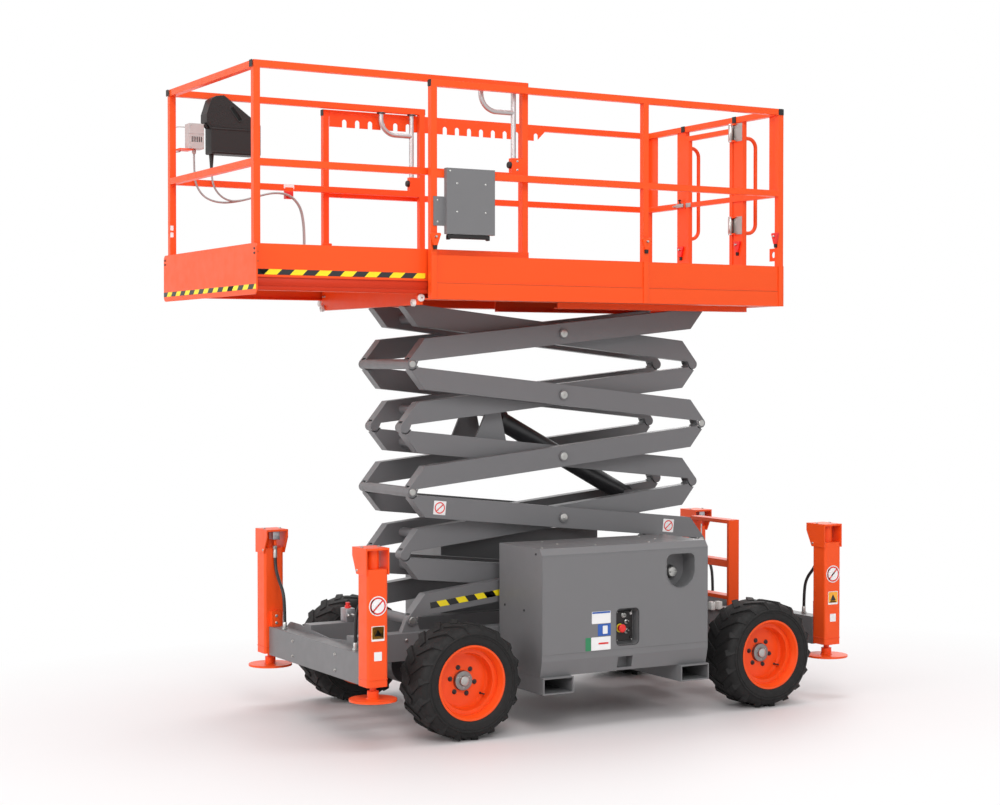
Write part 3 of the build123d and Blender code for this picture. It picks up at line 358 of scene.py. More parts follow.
class Kit:
    """Small forms gathered into one mesh that rides on one body. Each is added where it stands, in metres."""

    def __init__(self, name, body, slot, *paints):
        self.name, self.body, self.slot, self.paints = name, body, slot, paints
        self.mesh = bmesh.new()

    def faces(self, points, faces):
        corners = [self.mesh.verts.new(point) for point in points]
        for face in faces:
            self.mesh.faces.new([corners[i] for i in face])

    def band(self, one, two, paint):
        """Faces between two rings of as many corners."""
        for i in range(len(one)):
            j = (i + 1) % len(one)
            self.mesh.faces.new((one[i], one[j], two[j], two[i])).material_index = paint

    def ends(self, first, last, paint):
        self.mesh.faces.new(list(reversed(first))).material_index = paint
        self.mesh.faces.new(last).material_index = paint

    def lathe(self, origin, axis, profile, sides=24, paint=0, turn=0.0):
        """A turned form: profile holds (radius, height) along the axis, and radius 0 closes it."""
        matrix = facing(origin, axis, turn)
        angles = [2 * pi * i / sides for i in range(sides)]
        rings = []
        for radius, height in profile:
            places = [Vector((radius * cos(a), radius * sin(a), height)) for a in angles]
            if radius < 1e-6:
                places = [Vector((0, 0, height))]
            rings.append([self.mesh.verts.new(matrix @ place) for place in places])
        for one, two in zip(rings, rings[1:]):
            if len(one) > 1 and len(two) > 1:
                self.band(one, two, paint)
                continue
            for i in range(sides):
                j = (i + 1) % sides
                corners = (one[0], two[i], two[j]) if len(one) == 1 else (one[i], one[j], two[0])
                self.mesh.faces.new(corners).material_index = paint

    def prism(self, outline, origin, across, up, depth, edge, paint=0):
        """A plate of any outline in the plane of across and up, depth thick, with its rim chamfered."""
        across, up = Vector(across).normalized(), Vector(up).normalized()
        out = across.cross(up) * (1 if depth > 0 else -1)
        depth = abs(depth)
        centre = Vector([sum(p[i] for p in outline) / len(outline) for i in (0, 1)])
        size = max((Vector(p) - centre).length for p in outline)
        shrink = 1 - edge / size
        layers = []
        for height, scale in ((0, 1), (depth - edge, 1), (depth, shrink)):
            foot = Vector(origin) + out * height
            layers.append([self.mesh.verts.new(foot + across * (centre.x + (x - centre.x) * scale)
                                               + up * (centre.y + (y - centre.y) * scale))
                           for x, y in outline])
        for one, two in zip(layers, layers[1:]):
            self.band(one, two, paint)
        self.ends(layers[0], layers[-1], paint)

    def block(self, low, high, edge, paint=0):
        """A box with its edges bevelled."""
        low, high = Vector(low), Vector(high)
        made = bmesh.ops.create_cube(self.mesh, size=1)
        for vert in made["verts"]:
            vert.co = Vector([low[i] + (vert.co[i] + 0.5) * (high[i] - low[i]) for i in range(3)])
        edges = list({e for v in made["verts"] for e in v.link_edges})
        edge = min(edge, 0.3 * min(high[i] - low[i] for i in range(3)))
        done = bmesh.ops.bevel(self.mesh, geom=edges, offset=edge, segments=2, affect="EDGES", profile=0.6)
        for face in {f for v in done["verts"] for f in v.link_faces}:
            face.material_index = paint

    def tube(self, points, radius, sides, paint, loop=False):
        """A round bar through the points, back to the first where it is a loop."""
        points = [Vector(p) for p in points]
        count = len(points)
        rings = []
        up = None
        for i, point in enumerate(points):
            before = points[(i - 1) % count] if loop or i else point
            after = points[(i + 1) % count] if loop or i < count - 1 else point
            along = (after - before).normalized()
            if up is None:
                up = Z if abs(along.z) < 0.9 else X
            side = along.cross(up).normalized()
            up = side.cross(along).normalized()
            bend = 1.0
            if 0 < i < count - 1 or loop:
                a, b = (point - before).normalized(), (after - point).normalized()
                bend = 1 / max(0.5, cos(a.angle(b, 0) / 2))
            rings.append([self.mesh.verts.new(point + (side * cos(t) + up * sin(t)) * radius * bend)
                          for t in (2 * pi * k / sides for k in range(sides))])
        for one, two in list(zip(rings, rings[1:])) + ([(rings[-1], rings[0])] if loop else []):
            self.band(one, two, paint)
        if not loop:
            self.ends(rings[0], rings[-1], paint)

    def screw(self, origin, axis, size, paint=0, turn=0.3):
        """A hexagon head of that thread size."""
        self.lathe(origin, axis, scaled(HEXAGON, size), 6, paint, turn)

    def bolt(self, origin, axis, size, paint=0, turn=0.3):
        """The same on its washer."""
        self.lathe(origin, axis, scaled(WASHER, size), 20, paint)
        self.screw(origin + axis * size * WASHER[-1][1], axis, size, paint, turn)

    def stud(self, origin, axis, size, paint, turn):
        """A wheel nut with the stud's end showing."""
        self.bolt(origin, axis, size, paint, turn)
        self.lathe(origin + axis * size * 0.8, axis, scaled(STUD_END, size), 14, paint)

    def rivet(self, origin, axis, radius, paint=0):
        self.lathe(origin, axis, scaled(RIVET, radius), 14, paint)

    def label(self, middle, across, up, width, height, radius=0.004, thick=LABEL, paint=0):
        """A blank label, whose look is its paint."""
        self.prism(rounded(width, height, radius), middle, across, up, thick, 0.0002, paint)

    def ban_sign(self, middle, out, across, up, outer, inner, length, stroke):
        """A ring with a bar across it, printed on a label."""
        place = middle + out * LABEL
        self.lathe(place, out, ((inner, 0), (outer, 0), (outer, INK), (inner, INK), (inner, 0)), 48, 1)
        slant = Vector((cos(radians(45)), sin(radians(45))))
        cross = Vector((-slant.y, slant.x))
        corners = [slant * a * length / 2 + cross * b * stroke / 2
                   for a, b in ((-1, -1), (1, -1), (1, 1), (-1, 1))]
        self.prism([tuple(c) for c in corners], place, across, up, INK, 0.0001, 1)

    def done(self):
        bmesh.ops.recalc_face_normals(self.mesh, faces=self.mesh.faces)
        data = bpy.data.meshes.new(self.name)
        self.mesh.to_mesh(data)
        self.mesh.free()
        data.shade_smooth()
        data.set_sharp_from_angle(angle=radians(32))
        for name in self.paints or (self.slot,):
            data.materials.append(MATERIALS[name])
        piece = placed(self.name, data)
        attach(piece, self.body)


def rounded(width, height, radius, steps=5):
    """A rounded rectangle's outline about its middle."""
    points = []
    for cx, cy, start in ((1, 1, 0), (-1, 1, 90), (-1, -1, 180), (1, -1, 270)):
        for step in range(steps + 1):
            angle = radians(start + 90 * step / steps)
            points.append((cx * (width / 2 - radius) + radius * cos(angle),
                           cy * (height / 2 - radius) + radius * sin(angle)))
    return points


def clipped(corners, low, high):
    """The part of an outline between two upright lines."""
    for limit, keep_above in ((low, True), (high, False)):
        kept = []
        for one, two in zip(corners, corners[1:] + corners[:1]):
            inside = [(p[0] >= limit) if keep_above else (p[0] <= limit) for p in (one, two)]
            if inside[0]:
                kept.append(one)
            if inside[0] != inside[1]:
                share = (limit - one[0]) / (two[0] - one[0])
                kept.append((limit, one[1] + share * (two[1] - one[1])))
        corners = [p for i, p in enumerate(kept) if i == 0 or (Vector(p) - Vector(kept[i - 1])).length > 1e-6]
    return corners


def stripes(name, body, start, along, up, length, height, pitch, lean):
    """A yellow strip with black blocks that lean along it."""
    kit = Kit(name, body, "pale_plastic", "yellow", "black")
    along, up = along.normalized(), up.normalized()
    out = along.cross(up)
    kit.prism(((0, 0), (length, 0), (length, height), (0, height)), start, along, up, LABEL, 0.0002, 0)
    place = -lean if lean > 0 else 0.0
    while place < length:
        far = place + pitch / 2
        corners = [(place, 0.0), (far, 0.0), (far + lean, height), (place + lean, height)]
        cut = clipped(corners, 0.0, length)
        if len(cut) > 2:
            kit.prism(cut, start + out * LABEL, along, up, 0.0003, 0.0001, 1)
        place += pitch
    kit.done()


def pierced_plate(kit, outline, holes, y, thick):
    """A plate across the y axis with holes, its rims closed."""
    edges, rims = [], []
    for loop in [outline] + holes:
        verts = [kit.mesh.verts.new((x, y + thick, z)) for x, z in loop]
        rims.append(verts)
        edges += [kit.mesh.edges.new((verts[i], verts[(i + 1) % len(verts)])) for i in range(len(verts))]
    bmesh.ops.triangle_fill(kit.mesh, use_beauty=True, use_dissolve=False, edges=edges, normal=(0, 1, 0))
    for verts in rims:
        back = [kit.mesh.verts.new(v.co - Y * thick) for v in verts]
        for i in range(len(verts)):
            j = (i + 1) % len(verts)
            kit.mesh.faces.new((verts[i], back[i], back[j], verts[j]))


# ---- hoses and cables
def cord_piece(node, body, slot, points, radius):
    data = bpy.data.curves.new(node + "_line", "CURVE")
    data.dimensions = "3D"
    line = data.splines.new("NURBS")
    line.points.add(len(points) - 1)
    for place, point in zip(line.points, points):
        place.co = (*point, 1)
    line.order_u = 3
    line.use_endpoint_u = True
    line.resolution_u = 12
    data.bevel_depth = radius
    data.bevel_resolution = 4
    data.use_fill_caps = True
    data.materials.append(MATERIALS[slot])
    piece = placed(node + "_line", data)
    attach(piece, body)
    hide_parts(node)


def make_cords():
    for corner, end, side in CORNERS:
        points = [at(end * JACK_X, side * y, z) for y, z in HOSE_ROUTE]
        cord_piece("jack_hose_" + corner, "chassis", "black_rubber", points, 0.010)
    for node, route, y in (("control_cable", CONTROL_ROUTE, CONTROL_Y),
                           ("outlet_cable", OUTLET_ROUTE, OUTLET_Y)):
        points = [on_deck(x, y, z) for x, z in route]
        cord_piece(node, "extension", "grey_rubber", points, 0.006)


# ---- wheels and jacks
# A raised ring's radius, y and relief, and the rubber's depth inside the flank and under the crown.
RINGS = ((0.233, 0.8625, 0.0035), (0.262, 0.8695, 0.003), (0.2755, 0.8702, 0.0025))
TREAD = ((0.004, 0.085), (0.006, 0.055), (0.014, 0.034), (0.030, 0.018), (0.055, 0.010))


def make_wheels():
    for corner, end, side in CORNERS:
        out = Y * side
        centre = at(end * AXLE_X, 0, AXLE_Z)
        face = centre + out * HUB_FACE
        cap = 0.0225
        lid = face + out * cap
        hub = Kit("wheel_hub_" + corner, "wheel_" + corner, "black_metal", "hub_grey", "zinc", "black_metal")
        hub.lathe(face, out,
                  capped((0.046, 0), (0.0575, 0), (0.0575, 0.012), (0.0545, cap - 0.001), (0.050, cap)), 40)
        hub.lathe(lid, out, ((0.030, 0), (0.030, 0.005), (0.027, 0.013), (0.018, 0.0165), (0, 0.017)), 32, 1)
        for turn in (30, 150, 270):
            hub.rivet(lid + around(0.040, turn), out, 0.004, 1)
        for turn in range(10, 370, 60):
            hub.stud(face + around(0.080, turn), out, 0.0125, 2, radians(turn))
        stem = ((0.007, 0), (0.0065, 0.006), (0.004, 0.008), (0.004, 0.034), (0.0048, 0.035), (0.0048, 0.046),
                (0, 0.047))
        hub.lathe(face + around(0.143, 215), out, stem, 16, 2)
        hub.done()
        rings = Kit("tyre_rings_" + corner, "wheel_" + corner, "tyre_rubber")
        for radius, reach, proud in RINGS:
            profile = ((radius - 0.005, -0.004), (radius - 0.0025, proud * 0.7), (radius, proud),
                       (radius + 0.0025, proud * 0.7), (radius + 0.005, -0.004))
            rings.lathe(centre + out * reach, out, profile, 72)
            rings.lathe(centre + out * (2 * TYRE_Y - reach), -out, profile, 72)
        rings.done()


def make_tread_fill():
    """Rubber between the bars, which brings the grooves up to the depth they show."""
    for corner, _, _ in CORNERS:
        low, high = LOW["tyre_" + corner], HIGH["tyre_" + corner]
        half, radius = (high.y - low.y) / 2, (high.z - low.z) / 2
        near = [(radius - depth, inset - half) for inset, depth in TREAD]
        far = [(r, -y) for r, y in reversed(near)]
        kit = Kit("tread_fill_" + corner, "wheel_" + corner, "tyre_rubber")
        kit.lathe((low + high) / 2, Y, near + [(radius - 0.0065, 0)] + far, 96)
        kit.done()


def make_jacks():
    for corner, end, side in CORNERS:
        out = Y * side
        jack = at(end * JACK_X, 0, 0)
        fitting, gland = jack + out * HOSE_ROUTE[0][0], jack + out * HOSE_ROUTE[-1][0]
        parts = Kit("jack_fittings_" + corner, "chassis", "chrome", "zinc", "port_grey", "orange_paint")
        for place, profile, sides in (
                (fitting + Z * 0.992,
                 closed((0.0135, 0), (0.0145, 0.002), (0.0145, 0.018), (0.0125, 0.02)), 6),
                (fitting + Z * 0.935, capped((0.0102, 0), (0.0125, 0.002), (0.0125, 0.046), (0.011, 0.05),
                                             (0.011, 0.057)), 20),
                (gland + Z * 0.5102, closed((0.0185, 0), (0.0185, 0.009), (0.017, 0.011)), 6),
                (gland + Z * 0.521, ((0.0102, 0), (0.013, 0.001), (0.013, 0.03), (0.0108, 0.034),
                                     (0.0102, 0.034)), 20)):
            parts.lathe(place, Z, profile, sides)
        port = 0.6235
        low, high = span(side, port, port + 0.067)
        parts.block(jack + Vector((-0.0227, low, 1.0495)), jack + Vector((0.0227, high, 1.0995)), 0.002, 1)
        for x in (-0.012, 0.012):
            parts.screw(jack + Vector((x, side * port, 1.075)), -out, 0.006)
        for x in (-0.052, 0.052):
            parts.bolt(jack + Vector((x, side * 0.690, 1.112)), Z, 0.008)
        for z in (0.535, 0.578):
            parts.bolt(jack + Vector((0, side * JACK_INBOARD, z)), -out, 0.008)
        bead = [jack + Vector((x, side * JACK_Y + y, 0.384)) for x, y in rounded(0.1275, 0.1275, 0.0163, 4)]
        parts.tube(bead, 0.0028, 6, 2, loop=True)
        for across in (-1, 1):
            parts.rivet(jack + Vector((across * 0.0715, side * 0.668, 0.985)), X * across, 0.008)
        parts.done()
        weld = Kit("jack_pad_weld_" + corner, "foot_" + corner, "orange_paint")
        weld.lathe(jack + out * JACK_Y + Z * 0.2718, Z,
                   ((0.0325, 0), (0.040, 0), (0.0362, 0.0028), (0.0328, 0.0065)), 40)
        weld.done()
        if side > 0:
            signs = Kit("jack_signs_" + corner, "chassis", "pale_plastic", "white", "red", "amber", "black")
            face = jack + out * (JACK_OUTBOARD + OFF)
            angles = [2 * pi * i / 40 for i in range(40)]
            spot = face + Z * 0.793
            signs.prism([(0.055 * cos(a), 0.055 * sin(a)) for a in angles], spot, -X, Z, LABEL, 0.0002)
            signs.ban_sign(spot, out, -X, Z, 0.0485, 0.0395, 0.080, 0.0085)
            signs.label(face + Z * 0.6405, -X, Z, 0.080, 0.084)
            signs.label(face + out * LABEL + Z * 0.6445, -X, Z, 0.073, 0.068, thick=INK, paint=2)
            signs.prism(((-0.022, -0.018), (0.022, -0.018), (0, 0.020)),
                        face + out * (LABEL + INK) + Z * 0.6445, -X, Z, 0.0003, 0.0001, 3)
            signs.label(face + Z * 0.514, -X, Z, 0.048, 0.050)
            signs.done()


# ---- arms
def arm_axes(stage):
    """The middle of an outer arm's body, the way it runs towards the front and its upright."""
    rising = -1 if stage % 2 else 1
    middle = at(BASE_X - SPREAD / 2, 0, BASE_Z + (stage - 0.5) * RISE)
    along = Vector((cos(BODY_ANGLE), 0, rising * sin(BODY_ANGLE)))
    return middle, along, Vector((-along.z, 0, along.x))


def make_arm_trim():
    for stage in range(1, 6):
        front = stage % 2
        middle, _, _ = arm_axes(stage)
        low = at(BASE_X if front else BASE_X - SPREAD, 0, BASE_Z + (stage - 1) * RISE)
        pins = Kit(f"arm_pins_{stage}", f"inner_arm_{stage}", "chrome", "zinc")
        ends = Kit(f"arm_end_pins_{stage}", f"outer_arm_{stage}", "chrome", "zinc")
        for side in SIDES:
            out = Y * side
            head, face = middle + out * PIN_HEAD, low + out * (ARM_FACE + OFF)
            pins.lathe(head, out, capped((0.0235, 0), (0.0235, 0.0015), (0.021, 0.003)), 32)
            pins.screw(head + out * 0.003, out, 0.0075)
            ends.lathe(face, out, capped((0.0205, 0), (0.0205, 0.0035), (0.0185, 0.0052)), 28)
            for turn in (150, 210):
                ends.screw(face + around(0.034, turn, X if front else -X), out, 0.0045)
        pins.done()
        ends.done()
    middle, along, up = arm_axes(1)
    stripes("arm_stripe", "outer_arm_1", middle + Y * (ARM_FACE + STRIPE_OFF) + along * 0.926 - up * 0.028,
            -along, up, 0.790, 0.036, 0.128, -0.022)
    middle, along, up = arm_axes(2)
    for name, reach in (("front", 0.862), ("rear", -0.787)):
        kit = Kit("arm_sign_" + name, "outer_arm_2", "pale_plastic", "white", "red")
        spot = middle + along * reach + Y * (ARM_FACE + STRIPE_OFF)
        kit.label(spot, -along, up, 0.082, 0.082)
        kit.ban_sign(spot, Y, -along, up, 0.034, 0.0275, 0.056, 0.0065)
        kit.done()


# ---- modules and chassis
# x, z, width, height, paint and layer of each blank label
MODULE_LABELS = ((0.195, 0.645, 0.132, 0.072, 0, 0), (0.195, 0.674, 0.126, 0.010, 1, 1),
                 (0.174, 0.571, 0.090, 0.070, 1, 0), (0.168, 0.571, 0.034, 0.048, 0, 1),
                 (0.197, 0.492, 0.136, 0.078, 0, 0), (0.286, 0.492, 0.038, 0.078, 2, 0),
                 (0.180, 0.492, 0.070, 0.010, 3, 1))


def panel_outline(width, height, radius):
    return [(MID + PANEL_X + x, PANEL_Z + z) for x, z in rounded(width, height, radius)]


def bowl_outline():
    """The filler recess's mouth: rounded square above, half circle below."""
    cx, cz, half, corner = MID + FILLER_X, 0.890, 0.1042, 0.04
    top = cz + 0.030 + 0.0738
    quarter, below = [radians(15 * i) for i in range(7)], [radians(12 * i) for i in range(16)]
    points = [(cx - half + corner - corner * cos(a), top - corner + corner * sin(a)) for a in quarter]
    points += [(cx + half - corner + corner * sin(a), top - corner + corner * cos(a)) for a in quarter]
    return points + [(cx + half * cos(a), cz - half * sin(a)) for a in below]


def make_module_trim():
    low, high = LOW["module_left"], HIGH["module_left"]
    face = high.y + OFF
    fittings = Kit("module_fittings", "chassis", "black_metal", "black_metal", "zinc")
    for y, z in ((0.794, 1.030), (0.660, 0.690), (0.437, 0.700)):
        fittings.bolt(Vector((high.x, y, z)), X, 0.0065)
    for x, y in ((0.55, 0.775), (0.18, 0.775), (-0.20, 0.775), (-0.53, 0.775),
                 (0.35, 0.45), (0.35, 0.62), (-0.35, 0.45), (-0.35, 0.62)):
        fittings.rivet(at(x, y, high.z), Z, 0.008, 1)
    fittings.done()

    skin = Kit("module_skin", "chassis", "grey_paint")
    rear, front = low.x + 0.002, high.x - 0.002
    outline = [(rear, SKIN_FOOT), (front, SKIN_FOOT), (front, SKIN_TOP), (rear, SKIN_TOP)]
    pierced_plate(skin, outline, [panel_outline(0.158, 0.214, 0.027), bowl_outline()], face, SKIN)
    skin.done()

    labels = Kit("module_labels", "chassis", "pale_plastic", "white", "blue", "green", "red")
    for x, z, width, height, shade, layer in MODULE_LABELS:
        labels.label(at(x, face + SKIN + LABEL * layer, z), -X, Z, width, height, paint=shade)
    labels.done()

    rims = Kit("module_rims", "chassis", "black_plastic", "grey_paint", "black_metal")
    for outline, shade in ((panel_outline(0.160, 0.216, 0.028), 1), (bowl_outline(), 0)):
        rims.tube([(x, face + SKIN, z) for x, z in outline], 0.0025, 6, shade, loop=True)
    rims.done()

    cap = Kit("filler_cap", "chassis", "black_plastic", "zinc", "black_metal")
    spot = at(FILLER_X, high.y - 0.120, 0.875)
    cap.lathe(spot, Y, ((0.040, 0), (0.040, 0.006), (0.030, 0.010), (0.030, 0.018)), 36, 1)
    cap.lathe(spot + Y * 0.016, Y, closed((0.031, 0), (0.033, 0.004), (0.033, 0.018), (0.028, 0.024),
                                          (0.010, 0.027)), 36)
    cap.block(spot + Vector((-0.024, 0.041, -0.004)), spot + Vector((0.024, 0.051, 0.004)), 0.002)
    cap.done()

    louvres = Kit("module_louvres", "chassis", "grey_paint", "grey_paint", "black_metal")
    outer = LOW["module_right"].y
    foot, lip = outer - 0.0003, outer - 0.013
    for column in (-0.30, 0.30):
        x0, x1 = MID + column - 0.11, MID + column + 0.11
        for row in range(9):
            z = 0.56 + 0.042 * row
            louvres.faces([(x0, foot, z), (x1, foot, z), (x1 - 0.012, lip, z + 0.004),
                           (x0 + 0.012, lip, z + 0.004), (x1, foot, z + 0.028), (x0, foot, z + 0.028)],
                          [(0, 1, 2, 3), (3, 2, 4, 5), (0, 3, 5), (1, 4, 2), (0, 5, 4, 1)])
    for x, z in ((0, 0.98), (-0.54, 0.40), (-0.54, 0.98), (0.54, 0.40), (0.54, 0.98)):
        louvres.bolt(at(x, outer, z), -Y, 0.006, 1)
    louvres.done()


def make_base_controls():
    kit = Kit("base_control_knobs", "chassis", "black_plastic",
              "black_plastic", "red", "zinc", "yellow", "pale_plastic")
    back = HIGH["module_left"].y - PANEL_DEPTH
    stop, key = at(0.039, back, 0.568), at(0.012, back, 0.642)
    kit.lathe(stop, Y, ((0, 0), (0.0255, 0), (0.0255, 0.004), (0.0205, 0.006)), 32, 3)
    kit.lathe(stop, Y, ((0.0205, 0.004), (0.021, 0.020), (0.0245, 0.023), (0.025, 0.030), (0.019, 0.036),
                        (0, 0.037)), 36, 1)
    for z, size in ((0.603, 0.0105), (0.548, 0.012)):
        spot = at(-0.006, back, z)
        kit.lathe(spot, Y, closed((size * 1.3, 0), (size * 1.3, 0.004), (size, 0.006), (size, 0.012),
                                  (size * 0.5, 0.014)), 24, 2)
        kit.lathe(spot + Y * 0.012, Vector((0, 1, 0.35)),
                  ((0, 0), (0.0028, 0), (0.0036, 0.016), (0.0026, 0.019), (0, 0.020)), 14, 2)
    kit.lathe(key, Y, closed((0.016, 0), (0.016, 0.003), (0.012, 0.006), (0.012, 0.010)), 28, 2)
    kit.block(key + Vector((-0.0012, 0.009, -0.007)), key + Vector((0.0012, 0.026, 0.007)), 0.0006, 2)
    for z, shade in ((0.650, 4), (0.560, 0), (0.510, 0)):
        kit.lathe(at(-0.038, back, z), Y,
                  ((0, 0), (0.009, 0), (0.009, 0.003), (0.0065, 0.007), (0, 0.008)), 22, shade)
    for z in (0.495, 0.662):
        for x in (-0.045, 0.058):
            kit.rivet(at(x, back, z), Y, 0.004, 2)
    kit.done()


def make_chassis_trim():
    kit = Kit("chassis_bolts", "chassis", "chrome", "zinc", "roller_nylon", "port_grey", "red")
    for end in SIDES:
        for side in SIDES:
            for z in (0.375, 0.465):
                kit.bolt(at(end * 1.650, side * 0.300, z), X * end, 0.009)
    for side in SIDES:
        for x in (1.115, 1.215):
            kit.bolt(at(x, side * (0.350 + OFF), 0.52), Y * side, 0.009)
    kit.block(at(1.252, -0.345, 0.5602), at(1.312, -0.262, 0.642), 0.004, 2)
    kit.lathe(at(1.282, -0.304, 0.642), Z,
              closed((0.020, 0), (0.020, 0.012), (0.014, 0.016), (0.014, 0.034)), 22, 3)
    for x in (1.266, 1.298):
        kit.lathe(at(x, -0.262, 0.600), Y,
                  closed((0.011, 0), (0.011, 0.012), (0.008, 0.014), (0.008, 0.024)), 18)
    for x in (-0.965, -1.020):
        kit.block(at(x - 0.016, 0.352, 0.561), at(x + 0.016, 0.392, 0.612), 0.003, 1)
    kit.done()
    for side, name in zip(SIDES, ("left", "right")):
        top = at(AXLE_X, side * KINGPIN_Y, HIGH["knuckle_" + name].z)
        pin = Kit("kingpin_" + name, "knuckle_" + name, "black_metal", "zinc", "black_metal")
        pin.lathe(top, Z, capped((0.034, 0), (0.034, 0.004), (0.030, 0.008)), 28, 1)
        pin.bolt(top + Z * 0.008, Z, 0.009)
        pin.done()


# ---- platform
def make_gate_trim():
    fixed = Kit("gate_hinge_leaves", "deck", "chrome", "zinc", "black_plastic")
    swing = Kit("gate_hinge_sleeves", "gate", "chrome", "zinc")
    for z in HINGES:
        middle = on_deck(DECK_REAR + 0.035 + OFF, GATE_POST, z)
        fixed.prism(rounded(0.098, 0.116, 0.004), middle, -Y, Z, -HINGE_LEAF, 0.0003)
        for y in (-0.032, 0.0, 0.032):
            for up in (-0.040, 0.040):
                fixed.screw(middle + Vector((HINGE_LEAF, y, up)), X, 0.0048)
        pin = on_deck(HINGE_X, 0.260, z)
        for start, end in ((-0.0592, -0.0489), (0.0489, 0.0592)):
            fixed.lathe(pin, Z, closed((0.0128, start), (0.0137, start + 0.001), (0.0137, end - 0.001),
                                       (0.0128, end)))
        swing.lathe(pin, Z, ((0.0131, -0.0475), (0.0137, -0.0465), (0.0137, 0.0465), (0.0131, 0.0475)))
        half = 0.0482
        swing.block(on_deck(DECK_REAR + 0.0335, 0.2352, z - half), on_deck(HINGE_X - 0.010, 0.2528, z + half),
                    0.001)
    latch = on_deck(DECK_REAR + 0.030 + OFF, 0, MID_RAIL)
    for low, high, edge in (((0, -0.410, -0.016), (0.004, -0.264, 0.016), 0.001),
                            ((0.004, -0.352, -0.012), (0.022, -0.272, 0.012), 0.003)):
        fixed.block(latch + Vector(low), latch + Vector(high), edge)
    fixed.lathe(latch + Vector((0.013, -0.352, 0)), -Y,
                closed((0.006, 0), (0.006, 0.040), (0.005, 0.042)), 18)
    fixed.lathe(latch + Vector((0.013, -0.312, 0.012)), Vector((0.2, 0, 1)),
                ((0, 0), (0.0045, 0), (0.0045, 0.018), (0.009, 0.021), (0.010, 0.028), (0, 0.031)), 20, 1)
    for y in (-0.402, -0.374):
        fixed.screw(latch + Vector((0.004, y, 0)), X, 0.0045)
    keeper = on_deck(DECK_REAR + 0.0345, 0, MID_RAIL)
    swing.block(keeper + Vector((0, -0.254, -0.014)), keeper + Vector((0.004, -0.200, 0.014)), 0.001)
    swing.screw(keeper + Vector((0.004, -0.212, 0)), X, 0.0045)
    fixed.done()
    swing.done()


def make_rail_pins():
    """Red wedge-shaped clips with a black base and a pin through each, and painted ones at the posts."""
    rear, outer = DECK_REAR + 0.038 + OFF, DECK_Y + OFF
    for name, foot, across, shade in (
            ("gate_near", (rear - 0.008, GATE_POST, 0.270), Y, 0),
            ("gate_far", (rear - 0.008, -GATE_POST, 0.270), Y, 0), ("corner", (rear, 0.717, 0.300), Y, 0),
            ("front", (POST_FRONT, outer + 0.008, 0.212), -X, 3),
            ("middle", (POST_MIDDLE, outer, 0.232), -X, 3),
            ("far", (POST_FRONT, OFF - DECK_Y + TUBE, 0.235), -X, 3)):
        foot, out = on_deck(*foot), across.cross(Z)
        kit = Kit("rail_pin_" + name, "deck", "orange_paint", "red", "black_plastic", "zinc", "orange_paint")
        kit.prism(((-0.012, 0), (0.012, 0), (0.034, 0.062), (0.030, 0.070), (-0.030, 0.070), (-0.034, 0.062)),
                  foot, across, Z, 0.014, 0.002, shade)
        kit.prism(((-0.010, -0.022), (0.010, -0.022), (0.012, 0), (-0.012, 0)),
                  foot, across, Z, 0.010, 0.001, 1)
        kit.lathe(foot + Z * 0.048 + out * 0.014, out,
                  closed((0.007, 0), (0.007, 0.010), (0.005, 0.013)), 18, 2)
        kit.done()


def make_rail_caps():
    cap = rounded(TUBE + 0.0008, TUBE + 0.0008, 0.004)
    caps = Kit("rail_caps", "deck", "black_plastic")
    for side in SIDES:
        caps.prism(cap, on_deck(DECK_REAR + TUBE / 2, side * DECK_Y, TOP_RAIL), -X * side, Z, 0.003, 0.001)
        caps.prism(cap, on_deck(DECK_FRONT, side * (DECK_Y - TUBE / 2), TOP_RAIL), Y, Z, 0.003, 0.001)
        low, high = span(side, 0.264, 0.302)
        caps.block(on_deck(DECK_REAR + TUBE, low, TOP_RAIL - TUBE / 2),
                   on_deck(DECK_REAR + TUBE + 0.006, high, TOP_RAIL + 0.021), 0.002)
    caps.done()
    front = Kit("extension_caps", "extension", "black_plastic",
                "black_plastic", "white", "black_metal", "red")
    for side in SIDES:
        y = side * (EXT_Y - TUBE / 2)
        front.prism(cap, on_deck(EXT_FRONT, y, EXT_RAIL), Y, Z, 0.0025, 0.001)
        front.prism(cap, on_deck(EXT_REAR, y, EXT_RAIL), -Y, Z, 0.0025, 0.001)
        for z in (0.150, 0.098, 0.046):
            front.bolt(on_deck(2.280, side * (EXT_SIDE + OFF), z), Y * side, 0.006, 2)
        for z in (0.165, 0.140):
            front.bolt(on_deck(EXT_FRONT + OFF, side * 0.692, z), X, 0.006, 2)
    inside = TUBE - EXT_Y
    for z in (0.357, 0.316):
        front.label(on_deck(EXT_FRONT - TUBE / 2, inside + OFF, z), -X, Z, 0.020, 0.030, 0.002, paint=1)
    front.label(on_deck(1.525, inside + OFF, 0.640), -X, Z, 0.070, 0.026, 0.002, 0.0008, 1)
    low = on_deck(1.5015, inside - TUBE / 2 - 0.0006, 0.5644)
    front.block(low, low + Vector((0.051, 0.0336, 0.046)), 0.002, 3)
    front.done()


def make_document_trim():
    trim = Kit("document_trim", "deck", "black_plastic", "zinc", "black_plastic")
    for x, z in ((1.107, 0.563), (0.923, 0.563), (1.107, 0.403), (0.923, 0.403), (1.152, 0.632)):
        trim.rivet(on_deck(x, DECK_Y + 0.032, z), Y, 0.0065)
    for z in (0.467, 0.345):
        trim.rivet(on_deck(1.218, DECK_Y + 0.005, z), Y, 0.0065)
    trim.block(on_deck(0.893, DECK_Y + 0.004, 0.252), on_deck(1.165, DECK_Y + 0.028, 0.276), 0.003, 1)
    for x in (0.893, 1.149):
        trim.block(on_deck(x, DECK_Y + 0.003, 0.246), on_deck(x + 0.016, DECK_Y + 0.029, 0.270), 0.003, 1)
    trim.done()


